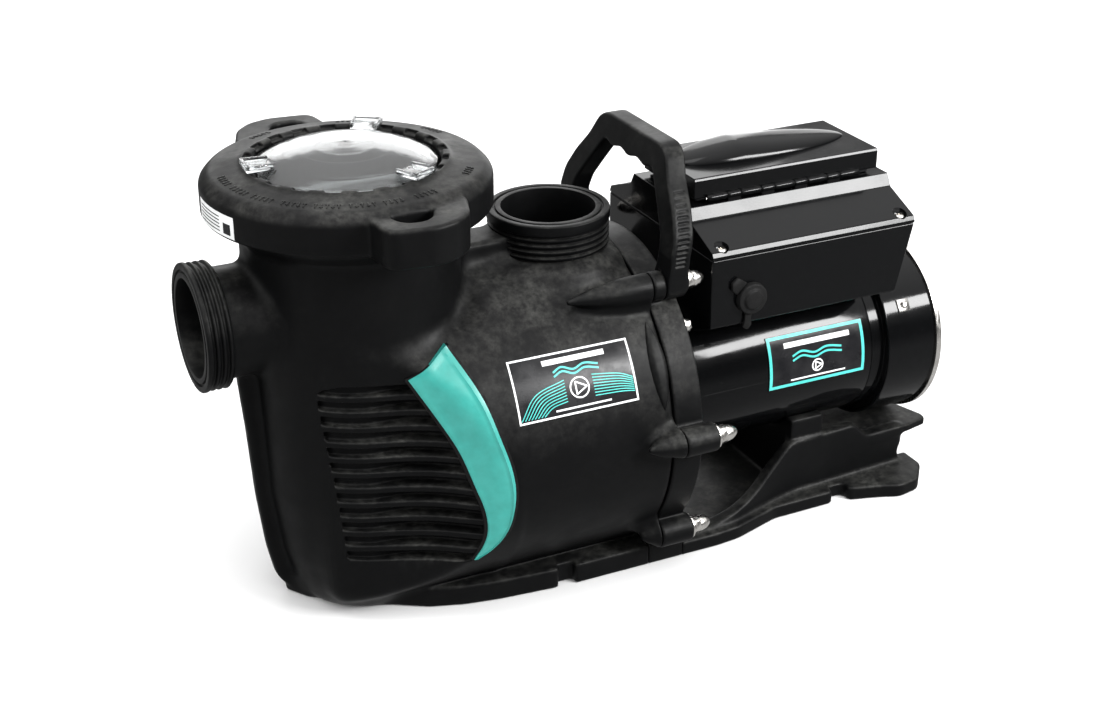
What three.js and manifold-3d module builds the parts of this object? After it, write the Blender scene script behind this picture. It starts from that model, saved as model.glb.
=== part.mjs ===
// A self-priming pool pump with a variable-speed motor.
// Millimetres. X runs along the shaft towards the motor, Z is up, and the origin is on the
// underside of the base, straight below the axis of the discharge port.
import * as THREE from "three";
import { mergeVertices } from "three/addons/utils/BufferGeometryUtils.js";
import Module from "manifold-3d";

const wasm = await Module();
wasm.setup();

// ---------------------------------------------------------------- driving dimensions
const GAP = 0.3; // clearance between pieces that touch
const SHAFT_Z = 143; // height of the motor shaft
const POT_X = -184; // axis of the strainer pot
const POT_R = 92;
const POT_WALL = 8;
const POT_RIM_Z = 372; // top face of the pot, where the lid seals
const BASKET_RIM_Z = 340; // the basket's rim hangs on a ledge inside the pot
const BASKET_SEAT_R = 80.5;
const PORT_BORE_R = 42;
const PORT_THREAD_R = 54.5;
const PORT_NECK_R = 47;
const SUCTION_Z = 271;
const SUCTION_FACE_X = -326;
const DISCHARGE_FACE_Z = 325;
const VOLUTE_R = 146;
const VOLUTE_WALL = 8;
const VOLUTE_FRONT_X = -88; // inside face of the chamber's front wall
const PARTING_X = 52; // volute meets seal plate
const PLATE_BACK_X = 80;
const BASE_SPLIT_X = 87; // seal plate's foot meets the motor base
const MOTOR_R = 77;
const MOTOR_FRONT_X = 105;
const MOTOR_REAR_X = 305;
const SHROUD_R = 86;
const SHROUD_FRONT_X = 318;
const SHROUD_REAR_X = 379;
const BOLT_CIRCLE_R = 157;
const BOLT_ANGLES = [35, 87, 131, -131, -87, -35]; // degrees from straight up, round the shaft
const RING_R = 121;
const RING_Z = 357.5;
const DRIVE_X0 = 112;
const DRIVE_X1 = 325;
const DRIVE_HALF_Y = 97;
const DRIVE_JOIN_Z = 287; // cover meets the lower housing
const DRIVE_TOP_Z = 320;
const KEYPAD_X0 = 121;
const KEYPAD_X1 = 315;
const KEYPAD_HALF_Y = 46;
const KEYPAD_HINGE_Z = 325;
const KEYPAD_COVER_TOP_Z = 344;

const FIN_COUNT = 12;
const FIN_PITCH = 14.2;
const FIN_SLOT = 8.8; // height of the gap between two fins
const FIN_FIRST_Z = 66;
const STRIPE_THICKNESS = 1.6;
const THREAD_DEPTH = 2;
const FOOT_Z = 20; // the casing's and seal plate's foot, which is thicker than the motor base's
const STUD_R = 4;
const STUD_HOLE_R = STUD_R + 0.8;
const BOSS_R = 13;
const PLATE_BOSS_END_X = 84;
const HANDLE_ANGLES = [35, -35]; // the carry handle's feet sit on the two upper studs
const HANDLE_X = 64 + GAP;
const HANDLE_FOOT_R = 13.5;
const HANDLE_LEAN = 0.22; // it leans towards the motor, this much for each mm above its bend
const HANDLE_BEND_Z = 300;
const DRAIN_Z = 32;
const DRAINS = [{ name: "pot", x: POT_X + 6, y: 108 }, { name: "volute", x: -62, y: 112 }];
const CORE_FRONT_X = 140; // the stator's and rotor's iron
const CORE_REAR_X = 250;
const COIL_SIDES = 6;
const COMM_PORT = { x: 152, z: 246, radius: 9 };
const GLAND = { x: 150, z: 250, radius: 11 };
const HINGE_Y = -KEYPAD_HALF_Y - 1.5;
const HINGE_R = 3.2;
const HINGE_PIN_R = 1.5;
const HINGE_BORE_R = 1.9;
const HINGE_PITCH = 35; // five knuckles on the keypad cover, and four on the drive between them
const HINGE_COVER_SPANS = [0, 1, 2, 3, 4].map((i) => [133 + i * HINGE_PITCH, 153 + i * HINGE_PITCH]);
const HINGE_ROOT_SPANS = [0, 1, 2, 3].map((i) => [154 + i * HINGE_PITCH, 167 + i * HINGE_PITCH]);
const COVER_SCREWS = [DRIVE_X0 + 13, DRIVE_X1 - 12].flatMap((x) =>
  [-1, 1].map((side) => [x, side * (DRIVE_HALF_Y - 8)]));
const BUTTONS = [
  ...[1, 2, 3, 4].map((i) => ({ name: `speed_${i}`, x: 126 + i * 20, y: -22 })),
  { name: "up", x: 272, y: 16 },
  { name: "down", x: 272, y: -2 },
  { name: "start", x: 272, y: -24 },
];
const BUTTON_SIZE = [12, 10, 4];
const BUTTON_Z = 323;

// ---------------------------------------------------------------- looks
const look = (color, roughness, metalness = 0) => ({ color, roughness, metalness });
const MOULDED = look(0x1b1c1e, 0.62);
const GLOSS = look(0x0c0d0f, 0.2);
const TEAL = look(0x35ab9b, 0.45);
const CLEAR = look(0xdde4e6, 0.08);
const RUBBER = look(0x161616, 0.85);
const STEEL = look(0xb9bbbd, 0.3, 0.9);
const CERAMIC = look(0xe9e6dc, 0.3);
const COPPER = look(0xb06a3a, 0.4, 0.8);
const IRON = look(0x55585c, 0.5, 0.7);
const BASKET = look(0xd9dcda, 0.5);
const LABEL = look(0x101315, 0.35);
const BOARD = look(0x1f6b3f, 0.5);
const BUTTON = look(0x8b9296, 0.5);

// ---------------------------------------------------------------- solids
const rad = THREE.MathUtils.degToRad;

// A closed three.js geometry as a solid whose faces point out.
function solid(geometry) {
  const bare = geometry.index ? geometry.toNonIndexed() : geometry.clone();
  bare.deleteAttribute("normal");
  bare.deleteAttribute("uv");
  const merged = mergeVertices(bare, 1e-3);
  const points = merged.attributes.position.array;
  const corners = [];
  let volume = 0;
  for (let i = 0; i < merged.index.count; i += 3) {
    const [a, b, c] = [0, 1, 2].map((k) => merged.index.getX(i + k));
    if (a === b || b === c || c === a) continue;
    corners.push(a, b, c);
    const [p, q, r] = [a, b, c].map((k) => new THREE.Vector3().fromArray(points, 3 * k));
    volume += p.dot(q.cross(r));
  }
  if (volume < 0) corners.reverse();
  const triVerts = new Uint32Array(corners);
  return new wasm.Manifold(new wasm.Mesh({ numProp: 3, vertProperties: points, triVerts }));
}

function geometryOf(made) {
  const mesh = made.getMesh();
  const stride = mesh.numProp;
  const points = new Float32Array((mesh.vertProperties.length / stride) * 3);
  for (let i = 0; i < points.length / 3; i += 1) {
    for (let k = 0; k < 3; k += 1) points[3 * i + k] = mesh.vertProperties[stride * i + k];
  }
  const geometry = new THREE.BufferGeometry();
  geometry.setAttribute("position", new THREE.BufferAttribute(points, 3));
  geometry.setIndex(new THREE.BufferAttribute(new Uint32Array(mesh.triVerts), 1));
  geometry.computeVertexNormals();
  return geometry;
}

const join = (first, ...others) => others.reduce((made, other) => made.add(other), first);
const cut = (first, ...others) => others.reduce((made, other) => made.subtract(other), first);

function box(x0, x1, y0, y1, z0, z1) {
  const geometry = new THREE.BoxGeometry(x1 - x0, y1 - y0, z1 - z0);
  return solid(geometry.translate((x0 + x1) / 2, (y0 + y1) / 2, (z0 + z1) / 2));
}

// Turns a profile of [along, radius] points round an axis: "x" is the shaft's line unless
// another centre is given, and "z" stands upright. Profiles close on the axis or on themselves.
function turned(profile, axis, segments = 32, centre = [0, 0, 0]) {
  const points = profile.map(([along, radius]) => new THREE.Vector2(radius, along));
  const geometry = new THREE.LatheGeometry(points, segments);
  if (axis === "x") geometry.rotateZ(-Math.PI / 2);
  if (axis === "z") geometry.rotateX(Math.PI / 2);
  return solid(geometry.translate(...centre));
}

const onShaft = (profile, segments = 32) => turned(profile, "x", segments, [0, 0, SHAFT_Z]);
const onPot = (profile, segments = 32) => turned(profile, "z", segments, [POT_X, 0, 0]);

const disc = (from, to, radius) => [[from, 0], [from, radius], [to, radius], [to, 0]];
const tube = (from, to, inner, outer) => [
  [from, inner], [from, outer], [to, outer], [to, inner], [from, inner],
];

// Extrudes an outline of [x, y] points upwards.
function prism(outline, z0, z1) {
  const shape = new THREE.Shape(outline.map(([x, y]) => new THREE.Vector2(x, y)));
  const geometry = new THREE.ExtrudeGeometry(shape, { depth: z1 - z0, bevelEnabled: false });
  return solid(geometry.translate(0, 0, z0));
}

// Extrudes an outline of [x, z] points across the pump, from y0 to y1.
function sidePrism(outline, y0, y1) {
  const shape = new THREE.Shape(outline.map(([x, z]) => new THREE.Vector2(x, z)));
  const geometry = new THREE.ExtrudeGeometry(shape, { depth: y1 - y0, bevelEnabled: false });
  return solid(geometry.rotateX(Math.PI / 2).translate(0, y1, 0));
}

// Extrudes an outline of [y, z] points along the shaft, from x0 to x1.
function endPrism(outline, x0, x1) {
  const shape = new THREE.Shape(outline.map(([y, z]) => new THREE.Vector2(y, z)));
  const geometry = new THREE.ExtrudeGeometry(shape, { depth: x1 - x0, bevelEnabled: false });
  geometry.rotateX(Math.PI / 2).rotateZ(Math.PI / 2);
  return solid(geometry.translate(x0, 0, 0));
}

// A tube of even thickness along a smooth curve.
function rod(points, radius, steps, sides = 8) {
  const curve = new THREE.CatmullRomCurve3(points.map((p) => new THREE.Vector3(...p)));
  const section = new THREE.Shape();
  section.absarc(0, 0, radius, 0, 2 * Math.PI);
  const settings = { steps, extrudePath: curve, curveSegments: sides, bevelEnabled: false };
  return solid(new THREE.ExtrudeGeometry(section, settings));
}

// A closed body through rings of [x, y, z] points, each ring with the same number of points.
function loft(rings) {
  const count = rings[0].length;
  const points = rings.flat(2);
  const corners = [];
  const capped = (ring, centre) => {
    const middle = rings[ring].reduce((sum, p) => sum.map((v, k) => v + p[k] / count), [0, 0, 0]);
    points.push(...middle);
    for (let i = 0; i < count; i += 1) {
      const [a, b] = [ring * count + i, ring * count + ((i + 1) % count)];
      corners.push(...(ring === 0 ? [b, a, centre] : [a, b, centre]));
    }
  };
  for (let ring = 0; ring + 1 < rings.length; ring += 1) {
    for (let i = 0; i < count; i += 1) {
      const [a, b] = [ring * count + i, ring * count + ((i + 1) % count)];
      corners.push(a, b, b + count, a, b + count, a + count);
    }
  }
  capped(0, rings.length * count);
  capped(rings.length - 1, rings.length * count + 1);
  const geometry = new THREE.BufferGeometry();
  geometry.setAttribute("position", new THREE.Float32BufferAttribute(points, 3));
  geometry.setIndex(corners);
  return solid(geometry);
}

const mirrored = (outline) => outline.map(([x, y]) => [x, -y]);

// Completes an outline whose first and last points lie on the centre line.
const bothSides = (outline) => [...outline, ...mirrored(outline.slice(1, -1)).reverse()];
const arc = (cx, cy, radius, fromDeg, toDeg, steps) =>
  Array.from({ length: steps + 1 }, (_, i) => {
    const angle = rad(fromDeg + ((toDeg - fromDeg) * i) / steps);
    return [cx + radius * Math.cos(angle), cy + radius * Math.sin(angle)];
  });

// Where a bolt sits round the shaft: [y, z] at an angle from straight up, plus towards -Y.
const boltPlace = (degrees, radius = BOLT_CIRCLE_R) => [
  -radius * Math.sin(rad(degrees)),
  SHAFT_Z + radius * Math.cos(rad(degrees)),
];

// ---------------------------------------------------------------- scene graph helpers
const pump = new THREE.Group();

function piece(parent, name, made, finish, place = [0, 0, 0], turn = [0, 0, 0]) {
  const material = new THREE.MeshStandardMaterial(finish);
  const mesh = new THREE.Mesh(geometryOf(made), material);
  mesh.name = name;
  mesh.position.set(...place);
  mesh.rotation.set(...turn);
  parent.add(mesh);
  return mesh;
}

function group(parent, place) {
  const made = new THREE.Group();
  made.position.set(...place);
  parent.add(made);
  return made;
}

// ---------------------------------------------------------------- the feet
const FOOT_HALF = [
  [-262, 0], [-248, -22], [-222, -33], [-200, -55], [-179, -70], [-156, -84], [-126, -94],
  [-96, -99.5], [-39, -105], [-39, -97], [-23, -97], [-23, -105.5], [88, -105.5], [125, -105.5],
  [150, -103], [175, -95], [200, -87], [266, -86], [266, -76], [283, -76], [283, -88],
  [314, -97], [333, -104.6], [356, -100], [376, -76], [376, -44], [340, -30], [340, 0],
];

const footPlate = (z0, z1) => prism(bothSides(FOOT_HALF), z0, z1);

// ---------------------------------------------------------------- pump body
function portThread(from, to, axis, centre, away) {
  const ridges = 2;
  const pitch = (to - from) / (ridges + 1);
  const profile = [[from, 0], [from, PORT_THREAD_R - THREAD_DEPTH]];
  for (let i = 0; i < ridges; i += 1) {
    const start = from + pitch * (i + 0.6);
    profile.push([start, PORT_THREAD_R - THREAD_DEPTH], [start + pitch * 0.3, PORT_THREAD_R]);
    profile.push([start + pitch * 0.6, PORT_THREAD_R - THREAD_DEPTH]);
  }
  profile.push([to, PORT_THREAD_R - THREAD_DEPTH], [to, 0]);
  return turned(profile.map(([along, r]) => [along * away, r]), axis, 28, centre);
}

function potShell() {
  return onPot([
    [0, 0], [0, 62], [8, 68], [50, 79], [110, 87], [180, 89], [250, POT_R], [338, POT_R],
    [352, 107.5], [POT_RIM_Z, 107.5], [POT_RIM_Z, 0],
  ]);
}

function potHollow() {
  return onPot([
    [12, 0], [12, 60], [50, 79 - POT_WALL], [110, 87 - POT_WALL], [200, BASKET_SEAT_R],
    [BASKET_RIM_Z - GAP, BASKET_SEAT_R], [BASKET_RIM_Z - GAP, POT_R - POT_WALL],
    [POT_RIM_Z + 1, POT_R - POT_WALL], [POT_RIM_Z + 1, 0],
  ]);
}

function voluteShell(grow = 0) {
  const end = PARTING_X - GAP / 2;
  return onShaft([
    [-150 - grow, 0], [-150 - grow, 70], [-146 - grow, 100], [-133 - grow, 127 + grow / 2],
    [-114, 141 + grow], [-92, VOLUTE_R + grow], [end, VOLUTE_R + grow], [end, 0],
  ], 32);
}

function voluteHollow() {
  return onShaft([
    [VOLUTE_FRONT_X, 0], [VOLUTE_FRONT_X, 118], [VOLUTE_FRONT_X + 16, VOLUTE_R - VOLUTE_WALL],
    [PARTING_X + 1, VOLUTE_R - VOLUTE_WALL], [PARTING_X + 1, 0],
  ], 32);
}

// The side of the casing between pot and volute, seen from above, grown outwards by "grow".
const shoulderHalf = (grow) => [
  [-184, 20], [-240 - grow, 66 + grow], [-216, 84 + grow], [-184, 97 + grow],
  [-160, 108 + grow], [-140, 122 + grow], [-120, 137 + grow], [-105, 144 + grow],
  [-90, 146 + grow], [-90, 20],
];

// The outside of the casing's flank, without its fins. The stripe follows this surface too.
function casingFlank(side, grow) {
  const outline = shoulderHalf(grow).map(([x, y]) => [x, side * y]);
  const roll = onShaft(disc(-260, 20, VOLUTE_R + grow), 32);
  return join(prism(outline, 8, 264).intersect(roll), voluteShell(grow));
}

// The slots between the horizontal fins, which stop short of the stripe's front edge.
function finSlots(side) {
  const field = [[-227, 238], [-180, 238], [-156, 196], [-143, 168], [-133, 139], [-127, 117],
    [-126, 98], [-129, 84], [-135, 66], [-227, 66]];
  const slots = [];
  for (let i = 0; i < FIN_COUNT; i += 1) {
    const z = FIN_FIRST_Z + FIN_PITCH * i;
    slots.push(box(-270, -90, -160, 160, z, z + FIN_SLOT));
  }
  const reach = side < 0 ? [-160, -50] : [50, 160];
  const window = sidePrism(field, ...reach).intersect(join(...slots));
  const floor = [[-240, 20], [-240, 78], [-216, 82], [-184, 89], [-160, 99], [-140, 113],
    [-120, 128], [-105, 136], [-90, 138], [-90, 20]];
  return cut(window, prism(floor.map(([x, y]) => [x, side * y]), 8, 264));
}

function keelWeb() {
  const edge = [
    [-230, 8], [-262, 8], [-269.5, 19.5], [-276, 50], [-282, 103], [-286, 168], [-290, 216],
    [-290, 250], [-230, 250],
  ];
  return sidePrism(edge, -6, 6);
}

// The boss that carries a body bolt, with its tapered fairing on the volute.
function bodyBoss(degrees) {
  const end = PARTING_X - GAP / 2;
  const [y, z] = boltPlace(degrees);
  const boss = turned([[-22, 0], [-22, 3], [-6, 9], [20, 12], [end, BOSS_R], [end, 0]], "x", 12,
    [0, y, z]);
  const [innerY, innerZ] = boltPlace(degrees, BOLT_CIRCLE_R - 14);
  const web = turned([[-6, 0], [-6, 6], [20, 11], [end, 12], [end, 0]], "x", 8,
    [0, innerY, innerZ]);
  return join(boss, web);
}

const boltHole = (degrees, radius, x0, x1) => {
  const [y, z] = boltPlace(degrees);
  return turned(disc(x0, x1, radius), "x", 10, [0, y, z]);
};

function lidLugs() {
  return [0, 90, 180, 270].map((degrees) => {
    const outline = [...arc(0, 0, 106, -11, 11, 2), ...arc(0, 0, 109.4, 11, -11, 4)];
    return prism(outline, 362, 367).rotate([0, 0, degrees + 45]).translate([POT_X, 0, 0]);
  });
}

function pumpBody() {
  const suctionNeck = turned(disc(SUCTION_FACE_X + 2, POT_X, PORT_NECK_R), "x", 28,
    [0, 0, SUCTION_Z]);
  const dischargeNeck = turned([[200, 0], [200, 66], [284, 66], [292, PORT_NECK_R],
    [DISCHARGE_FACE_Z - 2, PORT_NECK_R], [DISCHARGE_FACE_Z - 2, 0]], "z", 28);
  const outer = join(
    voluteShell(),
    potShell(),
    suctionNeck,
    portThread(SUCTION_FACE_X, SUCTION_FACE_X + 26, "x", [0, 0, SUCTION_Z], 1),
    dischargeNeck,
    portThread(DISCHARGE_FACE_Z - 26, DISCHARGE_FACE_Z, "z", [0, 0, 0], 1),
    keelWeb(),
    box(-130, -20, -20, 20, 250, 309),
    casingFlank(-1, 0),
    casingFlank(1, 0),
    footPlate(0, FOOT_Z).intersect(box(-300, PARTING_X - GAP / 2, -200, 200, -1, 30)),
    ...lidLugs(),
    ...BOLT_ANGLES.map(bodyBoss),
    ...DRAINS.map(({ x, y }) => drainBoss(x, y)),
  );
  const shortened = outer.intersect(box(-400, PARTING_X - GAP / 2, -200, 200, 0, 400));
  const suctionBore = turned(disc(SUCTION_FACE_X - 1, POT_X, PORT_BORE_R), "x", 28,
    [0, 0, SUCTION_Z]);
  const dischargeBore = turned(disc(200, DISCHARGE_FACE_Z + 1, PORT_BORE_R), "z", 28);
  const eye = onShaft(disc(VOLUTE_FRONT_X - 20, VOLUTE_FRONT_X + 1, 47), 32);
  return cut(
    shortened,
    potHollow(),
    voluteHollow(),
    suctionBore,
    dischargeBore,
    eye,
    finSlots(-1),
    finSlots(1),
    ...DRAINS.map(({ x }) => drainHole(x)),
    ...BOLT_ANGLES.map((degrees) => boltHole(degrees, STUD_HOLE_R, 0, PARTING_X + 1)),
  );
}

// The teal trim is a curved strip stuck to the side of the casing. Its outline is drawn on the
// side view, and it follows the casing's own skin.
const STRIPE_OUTLINE = [
  [-176, 237], [-166, 243], [-155, 250], [-139, 258], [-121, 221], [-111, 187], [-103, 158],
  [-100, 134], [-102, 107], [-107, 89], [-117, 75], [-131, 67], [-125, 82], [-122, 99],
  [-124, 118], [-131, 141], [-141, 172], [-155, 200],
];

function stripe(side) {
  const reach = side < 0 ? [-170, -60] : [60, 170];
  const blank = sidePrism(STRIPE_OUTLINE, ...reach);
  const skin = blank.intersect(casingFlank(side, GAP + STRIPE_THICKNESS));
  return largest(cut(skin, casingFlank(side, GAP), onPot(disc(0, 340, POT_R + GAP))));
}

const largest = (made) => made.decompose().sort((a, b) => b.volume() - a.volume())[0];

// The rating label is a thin plate that follows the volute's round side.
function labelBlank(x0, x1, from, to, inner, outer) {
  const ring = [...arc(0, SHAFT_Z, outer, 90 + from, 90 + to, 6),
    ...arc(0, SHAFT_Z, inner, 90 + to, 90 + from, 6)];
  return endPrism(ring, x0, x1);
}

const voluteLabel = () => labelBlank(-93, 20, 49, 70.5, VOLUTE_R + GAP, VOLUTE_R + 1.2);

// A drain plug at the foot of the pot and one under the volute, both on the far side.
const drainHole = (x) => turned(disc(50, 140, 8.3), "y", 16, [x, 0, DRAIN_Z]);
const drainBoss = (x, y) => turned(disc(70, y, 15), "y", 16, [x, 0, DRAIN_Z]);

function drainPlug() {
  const thread = turned(disc(-28, 0.5, 8), "y", 16);
  const head = turned(disc(GAP, 7, 13), "y", 16);
  const wing = box(-3, 3, 6, 16, -12, 12);
  return join(thread, head, wing);
}

// ---------------------------------------------------------------- the lid
function clampRing() {
  const shell = onPot([
    [RING_Z, 112], [RING_Z, RING_R], [385.5, RING_R], [394, 113], [399, 86], [392, 84],
    [389, 84], [389, 112], [RING_Z, 112],
  ]);
  const handles = [-1, 1].map((side) => lidHandle(side));
  const lugs = [0, 90, 180, 270].map((degrees) => {
    const outline = [...arc(0, 0, 109.7, -11, 11, 2), ...arc(0, 0, 114, 11, -11, 2)];
    return prism(outline, RING_Z, 361.5).rotate([0, 0, degrees + 45]).translate([POT_X, 0, 0]);
  });
  return join(shell, ...handles, ...lugs);
}

// A grip on the ring's rim, seen from above, with a slot for the fingers.
function lidHandle(side) {
  const outline = [[-27, 100], [-22, 144], [-16, 151], [18, 155], [38, 149], [53, 134], [64, 102]];
  const slot = [[-8, 118], [-4, 131], [2, 136], [14, 137], [23, 130], [29, 116.5]];
  const facing = (points) => points.map(([x, y]) => [POT_X - side * x, side * y]);
  const grip = cut(prism(facing(outline), 354, 388), prism(facing(slot), 340, 400));
  return cut(grip, onPot(disc(340, 400, 116)));
}

function clearLid() {
  const dome = onPot([
    [378, 0], [378, 96], [POT_RIM_Z + 1, 96], [POT_RIM_Z + 1, 107], [388.6, 107],
    [388.6, 83.4], [398, 82], [404, 70], [408, 50], [410, 25], [410.5, 0],
  ]);
  const under = onPot([
    [377, 0], [377, 77], [394, 76], [400, 66], [404, 48], [406, 25], [406.5, 0],
  ]);
  const tabs = [-90, 30, 150].map((degrees) =>
    box(76, 92, -13, 13, 399.3, 402).rotate([0, 0, degrees + 25]).translate([POT_X, 0, 0]));
  return join(cut(dome, under), ...tabs);
}

const lidRing = () => onPot(tube(POT_RIM_Z + GAP, 377.7, 87, 93));

function strainerBasket() {
  const wall = onPot([
    [150, 0], [150, 66], [BASKET_RIM_Z, 79], [BASKET_RIM_Z, 82], [345, 82], [345, 76],
    [152.5, 63.5], [152.5, 0],
  ], 24);
  const handle = rod([[POT_X - 77, 0, 342], [POT_X - 60, 0, 366], [POT_X, 0, 372],
    [POT_X + 60, 0, 366], [POT_X + 77, 0, 342]], 3, 10, 4);
  const windows = [];
  for (let row = 0; row < 3; row += 1) {
    const z = 166 + row * 58;
    for (let turn = 0; turn < 6; turn += 1) {
      const window = box(40, 100, -16, 16, z, z + 44).rotate([0, 0, turn * 60 + 30]);
      windows.push(window.translate([POT_X, 0, 0]));
    }
  }
  return join(cut(wall, ...windows), handle);
}

// ---------------------------------------------------------------- seal plate and handle
const plateFace = PARTING_X + GAP / 2;

function sealPlate() {
  const plate = onShaft([
    [plateFace, 128], [plateFace, VOLUTE_R], [PLATE_BACK_X, VOLUTE_R], [PLATE_BACK_X, 30],
    [72, 30], [72, 14], [62, 14], [62, 100], [66, 128], [plateFace, 128],
  ], 32);
  const bosses = BOLT_ANGLES.map((degrees) => {
    const [y, z] = boltPlace(degrees);
    const end = HANDLE_ANGLES.includes(degrees) ? HANDLE_X - GAP : PLATE_BOSS_END_X;
    return turned(disc(plateFace, end, BOSS_R), "x", 16, [0, y, z]);
  });
  const foot = footPlate(0, FOOT_Z).intersect(
    box(plateFace, BASE_SPLIT_X - GAP / 2, -200, 200, -1, 30));
  const whole = join(plate, ...bosses, foot).intersect(box(0, 120, -200, 200, 0, 400));
  return cut(
    whole,
    ...BOLT_ANGLES.map((degrees) => boltHole(degrees, STUD_HOLE_R, 40, 100)),
    ...HANDLE_ANGLES.map((degrees) => boltHole(degrees, HANDLE_FOOT_R + GAP, HANDLE_X - GAP, 100)),
  );
}

function carryHandle() {
  const outer = [[-102, 268], [-108, 300], [-105, 318], [-92, 338], [-74, 358], [-62, 378],
    [-50, 384], [50, 384], [62, 378], [74, 358], [92, 338], [105, 318], [108, 300], [102, 268]];
  const inner = [[79, 200], [79, 284], [84, 300], [80, 314], [64, 336], [50, 354], [44, 362],
    [30, 358], [15, 362], [0, 358], [-15, 362], [-30, 358], [-44, 362], [-50, 354], [-64, 336],
    [-80, 314], [-84, 300], [-79, 284], [-79, 200]];
  const arch = cut(endPrism(outer, HANDLE_X, PLATE_BOSS_END_X), endPrism(inner, 0, 200));
  const feet = HANDLE_ANGLES.map((degrees) => {
    const [y, z] = boltPlace(degrees);
    return turned(disc(HANDLE_X, PLATE_BOSS_END_X, HANDLE_FOOT_R), "x", 20, [0, y, z]);
  });
  const leaning = join(arch, ...feet).warp((v) => {
    v[0] += Math.max(0, v[2] - HANDLE_BEND_Z) * HANDLE_LEAN;
  });
  const clear = [onShaft(disc(0, 200, VOLUTE_R + GAP), 32),
    ...HANDLE_ANGLES.map((degrees) => boltHole(degrees, STUD_HOLE_R, 40, 100))];
  return cut(leaning, ...clear);
}

// ---------------------------------------------------------------- fasteners
function bodyBolt() {
  const stud = turned(disc(4, 88, STUD_R), "x", 10);
  const washer = turned(disc(PLATE_BOSS_END_X + GAP, 86.3, 11), "x", 16);
  const nut = turned(disc(86, 94, 8.6), "x", 6);
  const dome = turned([[94, 0], [94, 7], [100, 6.2], [105, 3.6], [107, 0]], "x", 12);
  return join(stud, washer, nut, dome);
}

// ---------------------------------------------------------------- hydraulics inside
const diffuser = () => onShaft([
  [-84, 40], [-84, 46], [-70, 46], [-30, 60], [-8, 100], [-8, 118], [48, 118], [48, 114],
  [-3, 114], [-3, 97], [-26, 56], [-68, 40], [-84, 40],
], 28);

const wearRing = () => onShaft(tube(-18, -2, 40.3, 46), 24);

function impeller() {
  const back = onShaft([[36, 9], [36, 94], [40, 94], [40, 18], [46, 18], [46, 9], [36, 9]], 24);
  const front = onShaft([
    [-16, 34], [-16, 39], [4, 39], [18, 60], [24, 94], [28, 94], [22, 58], [8, 34], [-16, 34],
  ], 24);
  const vanes = [];
  const count = 6;
  for (let i = 0; i < count; i += 1) {
    const outerFace = arc(46, 0, 44, 4, 150, 4);
    const innerFace = arc(46, 0, 40, 150, 4, 4);
    const blade = prism([...outerFace, ...innerFace], 12, 37).rotate([0, 90, 0]);
    vanes.push(blade.rotate([(360 / count) * i, 0, 0]).translate([0, 0, SHAFT_Z]));
  }
  const room = onShaft([[8, 0], [8, 36], [22, 60], [27, 93], [37, 93], [37, 0]], 24);
  const trimmed = join(...vanes).intersect(room);
  const hub = onShaft(tube(14, 42, 9, 22), 16);
  return join(back, front, trimmed, hub);
}

const impellerScrew = () => join(onShaft(disc(4, 12, 12), 6), onShaft(disc(11, 29, 3.5), 10));
const sealSeat = () => onShaft(tube(57, 61.5, 13.5, 23), 24);
const sealHead = () => onShaft(tube(51, 56.6, 13.5, 21), 24);
const bodyRing = () => onShaft(tube(48.6, 51.7, 122, 127), 32);

function motorShaft() {
  return onShaft([
    [30, 0], [30, 8.6], [96, 8.6], [96, 10], [134, 10], [134, 13], [288, 13], [288, 8.5],
    [350, 8.5], [350, 0],
  ], 20);
}

// ---------------------------------------------------------------- motor
const motorShell = () => onShaft(
  tube(MOTOR_FRONT_X + GAP, MOTOR_REAR_X - GAP, MOTOR_R - 4, MOTOR_R), 32);

function frontEndBell() {
  return onShaft([
    [PLATE_BACK_X + GAP, 30], [PLATE_BACK_X + GAP, 72], [92, 72], [96, MOTOR_R + 2],
    [MOTOR_FRONT_X, MOTOR_R + 2], [MOTOR_FRONT_X, 72], [112, 72], [112, 60], [103, 60],
    [103, 25], [118, 25], [118, 20.2], [100, 20.2], [100, 12], [84, 12], [84, 30],
    [PLATE_BACK_X + GAP, 30],
  ], 28);
}

const rearEndBell = () => onShaft([
  [MOTOR_REAR_X, 12], [MOTOR_REAR_X, 20.2], [289, 20.2], [289, 25], [MOTOR_REAR_X, 25],
  [MOTOR_REAR_X, MOTOR_R], [319, MOTOR_R], [319, SHROUD_R - 3.4], [324, SHROUD_R - 3.4],
  [324, 12], [MOTOR_REAR_X, 12],
], 28);

// The winding's two end turns, joined by the coil sides that lie in the core's slots.
const coilSides = (play) => Array.from({ length: COIL_SIDES }, (_, i) => {
  const side = turned(disc(CORE_FRONT_X - 5, CORE_REAR_X + 5, 6 + play), "x", 8, [0, 0, 57]);
  return side.rotate([(360 / COIL_SIDES) * i, 0, 0]).translate([0, 0, SHAFT_Z]);
});
const statorCore = () => cut(
  onShaft(tube(CORE_FRONT_X, CORE_REAR_X, 46, MOTOR_R - 4.4), 24), ...coilSides(GAP));
const statorWinding = () => join(
  onShaft(tube(122, CORE_FRONT_X - GAP, 48, 66), 20),
  onShaft(tube(CORE_REAR_X + GAP, 272, 48, 66), 20),
  ...coilSides(0),
);
const rotorCore = () => onShaft(tube(CORE_FRONT_X, CORE_REAR_X, 13.3, 45), 20);
const bearing = (from, to, inner) => onShaft(tube(from, to, inner, 19.9), 20);

function coolingFan() {
  const hub = onShaft(tube(328, 346, 8.8, 26), 20);
  const blades = [];
  const count = 6;
  for (let i = 0; i < count; i += 1) {
    const blade = box(329, 345, -1.5, 1.5, 24, 70).rotate([(360 / count) * i, 0, 0]);
    blades.push(blade.translate([0, 0, SHAFT_Z]));
  }
  return join(hub, ...blades);
}

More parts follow.
